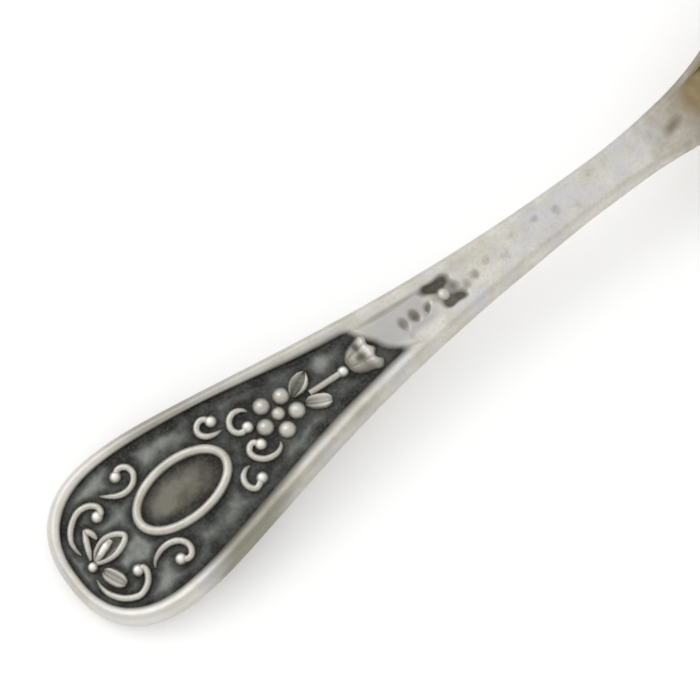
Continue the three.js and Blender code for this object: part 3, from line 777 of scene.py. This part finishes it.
lip = size["Lip"] + heel * heel * (RIM_WIDTH / 2 - LIP_ROUND)

# Across the grid goes the wall: its back up to 0.4, the lip to 0.5, the hollow to 0.9, and the lip.
LIP_INWARDS = [0.0, 0.08, 0.29, 0.62, 1.0]
LIP_UPWARDS = [0.0, 0.38, 0.71, 0.92, 1.0]


def lip_points(start, levels):
    return [(start + 0.01 * i, level) for i, level in enumerate(levels)]


turn = curve_through(ring, (0, 0), (0.4, 1), (0.5, 1), (0.9, 0), (1, 0)) * 2.0 - 1.0
edge_share = curve_through(
    ring, (0, 0), *lip_points(0.42, LIP_INWARDS),
    (0.9, 1), *lip_points(0.94, LIP_INWARDS[::-1]), (1, 0))
flat_share = curve_through(ring, (0, 0), (0.46, 0), (0.5, 1), (0.9, 1), (0.94, 0), (1, 0))
rise_share = curve_through(
    ring, (0, 0), (0.4, 0), *lip_points(0.42, LIP_UPWARDS), (0.48, 1), (0.5, 0.93),
    (0.9, 0.93), (0.92, 1), *lip_points(0.94, LIP_UPWARDS[::-1]), (1, 0))
wall_share = curve_through(ring, (0, 0), (0.4, 0), (0.42, 1), (0.98, 1), (1, 0))
inset = edge_share * lip + flat_share * (size["Wall"] - lip)
level = size["Depth"] + wall_share * (size["Wall"] - lip) + rise_share * lip
noseward = ((along - size["Widest"]) / (size["Nose"] - inset)).at_least(0.0)
rounded = (1.0 - noseward * noseward).at_least(0.0)
heel_run = size["Widest"] - size["Seam"] - inset
heelward = ((size["Widest"] - along) / heel_run).at_least(0.0).at_most(1.0)
heel_fall = ((heelward * math.pi).cosine() + 1.0) * 0.5
lengthways = either(nosed, rounded ** size["Fullness"], heel_fall)
nose_width = (size["Half width"] - inset) * rounded.root()
width = either(nosed, nose_width, (shoulder_y - inset * slant).at_least(0.0))
crossways = (turn * (math.pi / 2)).cosine().at_least(0.0) ** (size["Fullness"] * 2.0)
inside = ring.over(0.45) - ring.over(0.95)
fall = size["Depth"] + (1.0 - inside) * size["Flat"]
rise = (level - fall * lengthways * crossways).at_least(0.0)
middle = size["Depth"] + size["Wall"] * 0.5

# The gilding starts just past the seam, on a point a little left of the mid line.
gilt_from = size["Seam"] + 0.1 + abs(turn - 0.26)
started = ((along - gilt_from) / 2.0).at_least(0.0).at_most(1.0)
gilt = (ring.over(0.482) - ring.over(0.918)) * started
grid = result(bowl_tree, "GeometryNodeStoreNamedAttribute", {
    "Geometry": grid, "Name": "gilding", "Value": gilt,
}, data_type="FLOAT", domain="POINT")
across = (turn * (math.pi / 2)).sine() * width * opened
grid = moved(grid, along, across, either(opened, rise, middle))
finished(grid, gilt_silver)


# Puts a piece's flat points in their place on the spoon, in metres, by a rule for x, y and z.
# It gives back the flat points.
def set_in_place(piece, rule):
    mesh = piece.data
    work = bmesh.new()
    work.from_mesh(mesh)
    bmesh.ops.dissolve_degenerate(work, dist=1e-5, edges=work.edges)
    bmesh.ops.recalc_face_normals(work, faces=work.faces)
    work.to_mesh(mesh)
    work.free()
    flat = np.zeros(len(mesh.vertices) * 3, np.float32)
    mesh.vertices.foreach_get("co", flat)
    flat = flat.reshape(-1, 3).astype(float)
    mesh.vertices.foreach_set("co", (rule(*flat.T) / 1000.0).astype(np.float32).ravel())
    mesh.update()
    return flat


def past_stem(along, across, height):
    return np.stack([seam_x + along - SEAM_AT, across, height], -1)


bowl = made_by(bowl_tree, "gilt_bowl", {})
set_in_place(bowl, past_stem)
bowl.data.set_sharp_from_angle(angle=math.radians(60))
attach(bowl, "root")
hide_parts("bowl")


# The scrolls: four pairs of drawn silver wire, thin at the tail, curled round to a ball melted on
# the end. They are bent to the arch of the panel and soldered down.
# Each path runs from tail to ball.

WIRE_RADIUS = 0.23
TAIL_RADIUS = 0.09
TAIL_SHARE = 0.4
BALL_RADIUS = 0.41
BALL_HEIGHT = 0.48
SUNK_FOOT = 0.03
WIRE_STEP = 0.06
WIRE_SEAT = 0.62
SCROLLS = {
    "tip_scroll_left": [
        (1.82, 0.95), (1.76, 1.5), (1.88, 2.1), (2.4, 2.74), (3.2, 3.16), (3.95, 3.07),
        (4.42, 2.66), (4.4, 2.19), (4.05, 2.15)],
    "tip_scroll_right": [
        (1.66, -0.9), (1.62, -1.5), (1.8, -2.2), (2.36, -2.97), (3.2, -3.43), (3.95, -3.23),
        (4.4, -2.71), (4.42, -2.24), (4.05, -2.15)],
    "side_scroll_left": [
        (4.95, 3.05), (5.36, 2.68), (5.95, 2.28), (6.55, 2.16), (7.09, 2.33), (7.45, 2.78),
        (7.42, 3.28), (7.1, 3.58), (6.75, 3.59), (6.45, 3.35)],
    "side_scroll_right": [
        (4.97, -2.72), (5.27, -2.38), (5.82, -2.13), (6.45, -2.09), (7.05, -2.3), (7.41, -2.72),
        (7.47, -3.18), (7.25, -3.56), (6.9, -3.61), (6.56, -3.35)],
    "outer_scroll_left": [
        (13.4, 1.46), (12.95, 1.48), (12.45, 1.67), (12.17, 2.03), (12.2, 2.43), (12.5, 2.71),
        (12.9, 2.7), (13.2, 2.3)],
    "outer_scroll_right": [
        (13.4, -1.46), (13.05, -1.5), (12.68, -1.77), (12.52, -2.19), (12.62, -2.62),
        (12.95, -2.87), (13.55, -2.56)],
    "inner_scroll_left": [
        (15.35, 1.4), (15.12, 1.7), (14.64, 1.86), (14.17, 1.67), (13.92, 1.24), (13.97, 0.81),
        (14.3, 0.52), (14.78, 0.58)],
    "inner_scroll_right": [
        (15.84, -1.39), (15.62, -1.71), (15.14, -1.89), (14.5, -1.76), (14.06, -1.36),
        (13.9, -0.9), (14.08, -0.55), (14.45, -0.43), (14.77, -0.8)],
}

# Ornament is bright where a thumb rubs it and dark at its foot, by its height over the ground.
GRIME = [(0.3, (0.035, 0.035, 0.031)), (0.7, (0.11, 0.108, 0.095))]
CROWN_SILVER = (0.96, 0.95, 0.9)
DULL_RELIEF = (0.205, 0.198, 0.163)
DARK_MARKS = (0.075, 0.072, 0.058)
POLISHED = (0.24, 0.24, 0.24)

relief_silver, shader, places, colour, rough, grain, relief = rubbed_silver(
    "rubbed_relief_silver", 0.15)
lifted = mixed(0.15, painted(grain, "lift"), grain)
rubbed = ramp(lifted, (0.22, 0.0), (0.45, 0.7), (0.7, 1.0))
dulled = ramp(mixed(0.3, painted(grain, "dulled"), grain), (0.2, 0.0), (0.85, 0.95))
colour = mixed(ramp(lifted, (0.72, 0.0), (0.86, 0.9)), colour, CROWN_SILVER)
colour = mixed(dulled, colour, DULL_RELIEF)
colour = mixed(painted(grain, "marked"), colour, DARK_MARKS)
colour = mixed(painted(grain, "greyed"), colour, WORN_GREY)
rough = mixed(ramp(lifted, (0.7, 0.0), (0.86, 0.7)), rough, POLISHED)
dress(shader, relief, {
    "Base Color": mixed(rubbed, ramp(grain, *GRIME), colour),
    "Metallic": ramp(rubbed, (0.0, 0.4), (1.0, 1.0)),
    "Roughness": mixed(rubbed, MATT, rough),
})


def path_of(shape):
    path = result(shape, "GeometryNodeMeshToCurve", {"Mesh": shape})
    return path, Measure(add_node(shape, "GeometryNodeSplineParameter").outputs["Factor"])


# A round wire along a path. Its foot stays level while it thickens from the tail.
def wire_along(path, thickness, smooth=True):
    kind = "CATMULL_ROM" if smooth else "POLY"
    path = result(path, "GeometryNodeCurveSplineType", {"Curve": path}, spline_type=kind)
    wires = {"Curve": path, "Length": WIRE_STEP}
    path = result(path, "GeometryNodeResampleCurve", wires, mode="LENGTH")
    upright = result(path, "GeometryNodeSetCurveNormal", {"Curve": path}, mode="Z_UP")
    lifted = moved(upright, *here(path), thickness * WIRE_SEAT)
    ring = result(path, "GeometryNodeCurvePrimitiveCircle", {"Resolution": 18, "Radius": 1.0})
    wires = {"Curve": lifted, "Profile Curve": ring, "Scale": thickness, "Fill Caps": True}
    return upright, result(path, "GeometryNodeCurveToMesh", wires)


# Balls on all points of a shape or on chosen ones, each with its foot sunk below the ground.
def balls_on(points, radius, height, rings, **chosen):
    wires = {"Segments": 2 * rings, "Rings": rings, "Radius": radius}
    ball = result(points, "GeometryNodeMeshUVSphere", wires)
    wires = {"Points": points, "Instance": ball, **chosen}
    balls = result(points, "GeometryNodeInstanceOnPoints", wires)
    risen = result(points, "ShaderNodeCombineXYZ", {"Z": height - radius})
    return result(points, "GeometryNodeTransform", {"Geometry": balls, "Translation": risen})


def joined(*shapes):
    node = add_node(shapes[0], "GeometryNodeJoinGeometry")
    for shape in shapes:
        wire_up(node, {0: shape})
    return node.outputs[0]


scroll_tree, shape, size = making("beaded scroll wire", {
    "Wire radius": WIRE_RADIUS, "Tail radius": TAIL_RADIUS, "Tail share": TAIL_SHARE,
    "Ball radius": BALL_RADIUS, "Ball height": BALL_HEIGHT,
})
path, walked = path_of(shape)
fullness = (walked / size["Tail share"]).at_most(1.0)
swell = (size["Wire radius"] - size["Tail radius"]) * (2.0 - fullness) * fullness
line, wire = wire_along(path, size["Tail radius"] + swell)
ends = {"Start Size": 0, "End Size": 1}
at_end = result(scroll_tree, "GeometryNodeCurveEndpointSelection", ends)
balls = balls_on(line, size["Ball radius"], size["Ball height"], 14, Selection=at_end)
finished(joined(wire, balls), relief_silver)

ornaments = []


# Lays a flat piece on the ground of the panel, bent to the arch, and notes how high each point
# stands and how far it has gone in each kind of wear that is given with its rule.
def solder_down(piece, node, height, **wear):
    def on_ground(along, across, lift):
        return on_face(along, across + bow(along), lift - SUNK_FOOT - PANEL_DEPTH)

    along, across, lift = set_in_place(piece, on_ground).T
    paint(piece, "lift", np.clip((lift - SUNK_FOOT) / height, 0.0, 1.0))
    for kind, rule in wear.items():
        paint(piece, kind, rule(along, across))
    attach(piece, "root")
    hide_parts(node)
    ornaments.append(piece)


for node, path in SCROLLS.items():
    solder_down(made_by(scroll_tree, "wire_" + node, {}, path), node, BALL_HEIGHT)


# The oval frame: thicker silver wire bent to a plain ring, its ends soldered together and filed
# flush. It lies in the middle of the panel, follows the arch and is soldered down.

OVAL_AT = 9.22
OVAL_HALF_LENGTH = 3.3
OVAL_HALF_WIDTH = 1.89
OVAL_WIRE_RADIUS = 0.31
OVAL_HEIGHT = 0.64

frame_tree, shape, size = making("oval frame", {
    "Half length": OVAL_HALF_LENGTH, "Half width": OVAL_HALF_WIDTH,
    "Wire radius": OVAL_WIRE_RADIUS,
})
ring = result(frame_tree, "GeometryNodeCurvePrimitiveCircle", {"Resolution": 160, "Radius": 1.0})
wires = {"X": size["Half length"], "Y": size["Half width"], "Z": 1.0}
stretched = result(frame_tree, "ShaderNodeCombineXYZ", wires)
wires = {"Geometry": ring, "Scale": stretched, "Translation": (OVAL_AT, 0.0, 0.0)}
ring = result(frame_tree, "GeometryNodeTransform", wires)
line, wire = wire_along(ring, size["Wire radius"], smooth=False)
finished(wire, relief_silver)
solder_down(made_by(frame_tree, "wire_oval_frame", {}), "cartouche_ring", OVAL_HEIGHT)


# The balls: shot of silver, melted round and soldered on where a line of the ornament starts or
# ends, and as the five petals and the eye of the flower.
# Each has its place, its radius, its height and the height at which a thumb would rub it bright.

FLOWER_AT = 16.78
FLOWER_OFF = 0.1
FLOWER_RADIUS = 1.16
FLOWER_TURN = math.radians(10)
PETAL_RADIUS = 0.64
PETAL_HEIGHT = 0.5
BALLS = [
    ("tip_bead", 1.95, -0.12, 0.34, 0.46, 0.46),
    ("flower_eye", FLOWER_AT, FLOWER_OFF, 0.46, 0.54, 0.648),
    ("bud_bead", 21.55, -0.12, 0.38, 0.46, 0.46),
    ("end_bead", 29.52, 0.03, 0.56, 0.45, 0.54),
]
for i in range(5):
    turn = math.pi * (1 + 0.4 * i) + FLOWER_TURN
    along = FLOWER_AT + FLOWER_RADIUS * math.cos(turn)
    across = FLOWER_OFF + FLOWER_RADIUS * math.sin(turn)
    BALLS.append((f"petal_{i + 1}", along, across, PETAL_RADIUS, PETAL_HEIGHT, 0.6))

ball_tree, shape, size = making("seated ball", {"Radius": BALL_RADIUS, "Height": BALL_HEIGHT})
points = result(ball_tree, "GeometryNodeMeshToPoints", {"Mesh": shape})
balls = balls_on(points, size["Radius"], size["Height"], 20)
finished(balls, relief_silver)
for node, along, across, radius, height, bright_at in BALLS:
    sizes = {"Radius": radius, "Height": height}
    solder_down(made_by(ball_tree, "round_" + node, sizes, [(along, across)]), node, bright_at)


# The leaves: small silver castings, each a thick raised border round a hollow, soldered down.
# Three fan out from the ball at the tip, the middle one of cord and the left one of two bare
# strokes, and two stand behind the flower.

LEAF_HEIGHT = 0.42
LEAF_OUTLINE = [
    (0, 0), (0.04, 0.26), (0.14, 0.58), (0.3, 0.88), (0.46, 1), (0.62, 0.96), (0.78, 0.74),
    (0.9, 0.44), (1, 0)]
LEAF_BORDER = [
    (0, 0.38), (0.2, 0.42), (0.4, 0.68), (0.58, 0.95), (0.74, 1), (0.9, 0.84), (0.97, 0.55), (1, 0)]
BLADE_OUTLINE = [
    (0, 0), (0.03, 0.3), (0.12, 0.66), (0.28, 0.92), (0.5, 1), (0.72, 0.97), (0.88, 0.74),
    (0.96, 0.44), (1, 0)]
BLADE_BORDER = [
    (0, 0.62), (0.18, 0.68), (0.36, 0.88), (0.55, 1), (0.75, 0.95), (0.9, 0.68), (0.97, 0.4),
    (1, 0)]
LEAF_LENGTHWAYS = [(0, 0), (0.06, 0.6), (0.18, 1), (0.85, 1), (0.95, 0.7), (1, 0)]


# A raised piece from a flat grid: its outline, its section and its long profile are each a curve.
# It may have lobes on its front edge, or a start that lies on a slant.
def raised_tree(name, outline, section, lengthways, columns=60, rows=61):
    tree, shape, size = making(name, {
        "Length": 2.0, "Half width": 0.5, "Height": LEAF_HEIGHT, "Lobe depth": 0.0, "Lobes": 3.0,
        "Phase": 0.0, "Slant": 0.0, "Place along": 0.0, "Place across": 0.0, "Turn": 0.0,
    })
    grid, walked, side = unit_grid(tree, columns, rows)
    side = side * 2.0 - 1.0
    level = curve_through(abs(side), *section) * curve_through(walked, *lengthways)
    scallop = (1.0 - (side * size["Lobes"] * math.pi + size["Phase"]).cosine()) * 0.5
    notched = walked - scallop * size["Lobe depth"] * walked ** 4.0
    x = (notched - side * size["Slant"] * (1.0 - walked)) * size["Length"]
    y = side * curve_through(walked, *outline) * size["Half width"]
    cosine, sine = size["Turn"].cosine(), size["Turn"].sine()
    turned_x = x * cosine - y * sine + size["Place along"]
    turned_y = x * sine + y * cosine + size["Place across"]
    top = moved(grid, turned_x, turned_y, level * size["Height"])
    foot = moved(grid, turned_x, turned_y, level * 0.0)
    foot = result(tree, "GeometryNodeFlipFaces", {"Mesh": foot})
    finished(joined(top, foot), relief_silver)
    return tree


leaf_tree = raised_tree("chased leaf", LEAF_OUTLINE, LEAF_BORDER, LEAF_LENGTHWAYS)
blade_tree = raised_tree("blunt leaf", BLADE_OUTLINE, BLADE_BORDER, LEAF_LENGTHWAYS)
LEAVES = [
    ("tip_leaf_right", blade_tree, (2.28, -0.66), (2.98, -2.4), 0.54),
    ("sprig_leaf_left", leaf_tree, (18.02, 0.4), (19.72, 1.32), 0.62),
    ("sprig_leaf_right", blade_tree, (18.42, -0.34), (20.04, -1.2), 0.54),
]


# The leaf at the tip is a little dull, and the two behind the flower are dark at their foot.
def leaf_dull(along, across):
    return np.where(along < FLOWER_AT, 0.3, 0.8 * falling(along, 18.5, 19.6))


for node, kind, start, end, width in LEAVES:
    run, side = end[0] - start[0], end[1] - start[1]
    leaf = made_by(kind, "chased_" + node, {
        "Length": math.hypot(run, side), "Half width": width, "Turn": math.atan2(side, run),
        "Place along": start[0], "Place across": start[1],
    })
    solder_down(leaf, node, 1.25 * LEAF_HEIGHT, dulled=leaf_dull)

# The middle leaf is a cord bent round a low web, with a thick rib inside it. The left one is a long
# and a short stroke that meet at its point.
LEAF_CORD = [
    (2.24, 0.0), (2.6, 0.48), (3.1, 0.72), (3.62, 0.78), (4.15, 0.62), (4.55, 0.34), (4.7, 0.08),
    (4.45, -0.18), (3.95, -0.38), (3.4, -0.45), (2.8, -0.34), (2.3, -0.1)]
LEAF_RIB = [(2.3, 0.04), (2.75, 0.14), (3.3, 0.32), (3.85, 0.42)]
LONG_STROKE = [(2.1, 0.3), (2.3, 0.72), (2.56, 1.3), (2.84, 1.92)]
SHORT_STROKE = [(3.2, 1.08), (3.16, 1.5), (2.98, 1.86), (2.8, 1.95)]

stroke_tree, shape, size = making("chased strokes", {"Stroke radius": 0.24})
path, walked = path_of(shape)
swelling = curve_through(walked, (0, 0.5), (0.3, 0.9), (0.7, 1), (1, 0.7))
line, stroke = wire_along(path, swelling * size["Stroke radius"])
finished(stroke, relief_silver)
web = made_by(blade_tree, "leaf_web", {
    "Length": 2.5, "Half width": 0.62, "Height": 0.15, "Turn": math.radians(4),
    "Place along": 2.2, "Place across": 0.02,
})
rib = made_by(stroke_tree, "leaf_rib", {"Stroke radius": 0.29}, LEAF_RIB)
leaf = made_by(stroke_tree, "chased_tip_leaf_centre", {"Stroke radius": 0.23}, LEAF_CORD)
work = bmesh.new()
for part in (leaf, rib, web):
    work.from_mesh(part.data)
work.to_mesh(leaf.data)
work.free()
bpy.data.objects.remove(rib)
bpy.data.objects.remove(web)
solder_down(leaf, "tip_leaf_centre", 0.47)
leaf = made_by(stroke_tree, "chased_tip_leaf_left", {}, LONG_STROKE, SHORT_STROKE)
solder_down(leaf, "tip_leaf_left", 0.48)


# The stalk and the chain of husks: a straight silver wire to the bud's ball, then a cast bell with
# three lobes, and three husks worn down almost flush with the rim.
# All are soldered on in one line.

BUD_ROD = [(19.1, -0.03), (21.3, -0.12)]

stalk_tree, shape, size = making("straight stalk", {"Wire radius": WIRE_RADIUS})
path, walked = path_of(shape)
line, wire = wire_along(path, size["Wire radius"], smooth=False)
finished(wire, relief_silver)
solder_down(made_by(stalk_tree, "straight_bud_rod", {}, BUD_ROD), "bud_rod", 0.6)

BELL_HEIGHT = 0.46
BELL_OUTLINE = [
    (0, 0), (0.03, 0.24), (0.1, 0.46), (0.22, 0.64), (0.38, 0.76), (0.5, 0.8), (0.62, 0.86),
    (0.78, 0.96), (1, 1)]
BELL_SECTION = [
    (0, 1), (0.22, 0.98), (0.36, 0.91), (0.5, 0.94), (0.7, 0.9), (0.84, 0.72), (0.95, 0.42), (1, 0)]
BELL_LENGTHWAYS = [
    (0, 0), (0.05, 0.46), (0.15, 0.76), (0.3, 0.94), (0.44, 0.95), (0.53, 0.88), (0.62, 0.92),
    (0.78, 1), (0.88, 0.88), (0.95, 0.6), (1, 0)]
UPPER_MARK = (23.05, 0.6, 0.25, 0.32)
LOWER_MARK = (22.97, -0.12, 0.38, 0.28)


# The bell is dull but for its lip, and two dark marks lie in the folds between its lobes.
def bell_dull(along, across):
    dull = 0.88 + 0.15 * rising(-across, 0.5, 1.2) - 0.4 * rising(along, 23.1, 23.6)
    return np.clip(dull, 0.0, 1.0)


def bell_marks(along, across):
    upper, lower = (in_spot(along, across, mark, 0.3, 1.3) for mark in (UPPER_MARK, LOWER_MARK))
    return 0.75 * np.maximum(upper, lower)


bell_tree = raised_tree("bell with lobes", BELL_OUTLINE, BELL_SECTION, BELL_LENGTHWAYS, 80, 73)
bell = made_by(bell_tree, "bell_husk_1", {
    "Length": 2.28, "Half width": 1.42, "Height": BELL_HEIGHT, "Lobe depth": 0.12, "Lobes": 3.0,
    "Place along": 21.88, "Place across": -0.02, "Turn": math.radians(-1.5),
})
solder_down(bell, "husk_1", BELL_HEIGHT, dulled=bell_dull, marked=bell_marks)

# Each worn husk has its start, length, half width, the notch of its front, its slant and height.
WORN_OUTLINE = [(0, 0.94), (0.1, 0.98), (0.3, 1), (0.7, 0.97), (0.9, 0.92), (1, 0.88)]
WORN_SECTION = [(0, 1), (0.4, 0.99), (0.65, 0.94), (0.82, 0.8), (0.93, 0.5), (1, 0)]
WORN_LENGTHWAYS = [
    (0, 0), (0.06, 0.5), (0.14, 0.78), (0.28, 0.94), (0.5, 1), (0.72, 0.97), (0.88, 0.86),
    (0.95, 0.66), (1, 0)]
WORN_HUSKS = [
    ("husk_2", 24.6, 1.6, 1.1, 0.10, 0.5, 0.42),
    ("husk_3", 26.44, 0.68, 0.80, 0.15, 0.0, 0.405),
    ("husk_4", 27.38, 0.70, 0.72, 0.15, 0.0, 0.405),
]


def husk_grey(along, across):
    return np.full(len(along), HUSK_GREY)


worn_tree = raised_tree("worn husk", WORN_OUTLINE, WORN_SECTION, WORN_LENGTHWAYS)
for node, start, length, width, notch, slant, height in WORN_HUSKS:
    worn = made_by(worn_tree, "worn_" + node, {
        "Length": length, "Half width": width, "Height": height, "Lobe depth": notch,
        "Lobes": 1.0, "Phase": math.pi, "Slant": slant, "Place along": start,
    })
    solder_down(worn, node, height, greyed=husk_grey)


# The oxide: the finished panel is darkened all over and then rubbed. A cloth reaches the open
# ground and leaves the foot of the rim and of every ornament dark. Painted light and shade are laid
# into the same paint.

RUBBED_REACH = 1.1
RUBBED_SHARE = 0.75
# Strengths of the painted sheen at the tip and the painted shade under the left rim.
TIP_SHEEN = 0.4
LEFT_SHADE = 0.4
HUSK_RUB = 0.52

feet = [handle.data.vertices[loop_starts[-1] + i].co for i in range(LOOP_COUNT)]
for piece in ornaments:
    feet.extend(vertex.co for vertex in piece.data.vertices)
nearest_foot = kdtree.KDTree(len(feet))
for i, place in enumerate(feet):
    nearest_foot.insert(place, i)
nearest_foot.balance()
gap = np.zeros(len(face_along))
for i, point in enumerate(handle.data.vertices):
    if sunk[i] > 0.5:
        gap[i] = nearest_foot.find(point.co)[2] * 1000.0

# The ground is paler at the tip, where a painted sheen lies, darker under the left rim, where a
# painted shade lies, and paler or darker in a few spots, the first of them a painted highlight
# beside the tip leaf.
# Each spot has its place along and across, its radius and how much paler it is.
SPOTS = [
    (4.6, -0.95, 1.1, 0.7), (8.0, 0.7, 1.3, 0.45), (11.2, 0.2, 1.0, -0.3), (20.7, 1.2, 0.8, 0.35),
    (9.2, -3.2, 1.2, -0.2), (17.0, -2.0, 1.6, 0.25), (18.3, 1.8, 1.3, 0.3), (24.5, -1.0, 0.8, -0.4),
]
sheen_at_tip = falling(face_along, 4.6, 8.0) * rising(gap, 0.1, 0.5)
left_rim = half_width(face_along) - RIM_WIDTH - rim_growth(face_along) + panel_shift(face_along)
under_left = falling(left_rim - face_across, 0.25, 1.1)
under_left = under_left * rising(face_along, 5.0, 9.0) * falling(face_along, 16.0, 20.0)
# Rubbed ground, plus a painted sheen at the tip, minus painted shade under the left rim.
rubbed_and_lit = RUBBED_SHARE * rising(gap, 0.1, RUBBED_REACH) + TIP_SHEEN * sheen_at_tip - LEFT_SHADE * under_left
for middle, off, radius, paler in SPOTS:
    rubbed_and_lit = rubbed_and_lit + paler * in_spot(face_along, face_across, (middle, off, radius, radius), 0.3, 1.2)
among_husks = rising(face_along, 25.6, 26.2)
paint(handle, "rub_and_light", np.clip(np.maximum(rubbed_and_lit, HUSK_RUB * among_husks), 0.0, 1.0))
oval = (OVAL_AT, SET_OFF, OVAL_HALF_LENGTH, OVAL_HALF_WIDTH)
in_oval = in_spot(face_along, face_across, oval, 0.9, 1.0)
paint(handle, "framed", np.maximum(in_oval, among_husks))


# The table: a plain white sheet, lit softly from all round and a little more from the spoon's left.
# It shows as white wherever the spoon throws no shadow on it.

WHITE = 0.92
GLOW = 0.16
SKY = [(0.0, (0.9, 0.895, 0.885)), (0.5, (0.9, 0.9, 0.89)), (1.0, (0.95, 0.95, 0.95))]
LAMP_PLACE = Vector((-0.16, 0.34, 0.5))
LAMP_AIM = Vector((0.0, 0.0, 0.003))
LAMP_SIZE = 0.4
LAMP_POWER = 0.55

floor_mesh = bpy.data.meshes.new("white_table")
floor_mesh.from_pydata([(-3, -3, 0), (3, -3, 0), (3, 3, 0), (-3, 3, 0)], [], [(0, 1, 2, 3)])
floor = placed("white_table", floor_mesh)
paper = bpy.data.materials.new("white_paper")
paper.use_nodes = True
tree = paper.node_tree
tree.nodes.remove(tree.nodes["Principled BSDF"])
rays = add_node(tree, "ShaderNodeLightPath").outputs
seen = rays["Is Camera Ray"]
for kind in ("Is Glossy Ray", "Is Transmission Ray"):
    seen = result(tree, "ShaderNodeMath", {0: seen, 1: rays[kind]}, operation="MAXIMUM")
glow = result(tree, "ShaderNodeMath", {0: seen, 1: GLOW}, operation="MULTIPLY")
matt = result(tree, "ShaderNodeBsdfDiffuse", {"Color": (WHITE, WHITE, WHITE, 1)})
shine = result(tree, "ShaderNodeEmission", {"Color": (1, 1, 1, 1), "Strength": glow})
both = result(tree, "ShaderNodeAddShader", {0: matt, 1: shine})
wire_up(tree.nodes["Material Output"], {"Surface": both})
floor_mesh.materials.append(paper)
floor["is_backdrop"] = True

studio = bpy.data.worlds.new("soft_studio")
studio.use_nodes = True
tree = studio.node_tree
direction = add_node(tree, "ShaderNodeTexCoord").outputs["Generated"]
side = add_node(tree, "ShaderNodeSeparateXYZ", {0: direction}).outputs["Y"]
leftward = result(tree, "ShaderNodeMapRange", {"Value": side, "From Min": -0.9, "From Max": 0.7})
wire_up(tree.nodes["Background"], {"Color": ramp(leftward, *SKY)})
bpy.context.scene.world = studio

window = bpy.data.lights.new("window_light", "AREA")
window.shape = "DISK"
window.size = LAMP_SIZE
window.energy = LAMP_POWER
lamp = placed("window_light", window)
lamp.location = LAMP_PLACE
lamp.rotation_euler = (LAMP_AIM - LAMP_PLACE).to_track_quat("-Z", "Y").to_euler()


# The camera stands over the spoon's tip and looks down the handle, near enough to see the relief.
# It has a long lens, turned to where the photograph was taken from, and aims at the panel's end.

CAMERA_TURN = math.radians(-37.3)
CAMERA_RISE = math.radians(70)
CAMERA_DISTANCE = 0.240
CAMERA_LENS = 199.95
AIM_ALONG = 22.7
AIM_ACROSS = 0.65

lens = bpy.data.cameras.new("camera")
lens.sensor_width = 36.0
lens.lens = CAMERA_LENS
lens.clip_start = 0.01
camera = placed("camera", lens)
away = Vector((
    math.sin(CAMERA_TURN) * math.cos(CAMERA_RISE),
    -math.cos(CAMERA_TURN) * math.cos(CAMERA_RISE),
    math.sin(CAMERA_RISE),
))
aim = Vector(on_face(AIM_ALONG, AIM_ACROSS, 0.0) / 1000.0)
camera.location = aim + away * CAMERA_DISTANCE
camera.rotation_euler = (-away).to_track_quat("-Z", "Y").to_euler()
bpy.context.scene.camera = camera
bpy.context.scene.view_settings.view_transform = "Standard"

low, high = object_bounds()
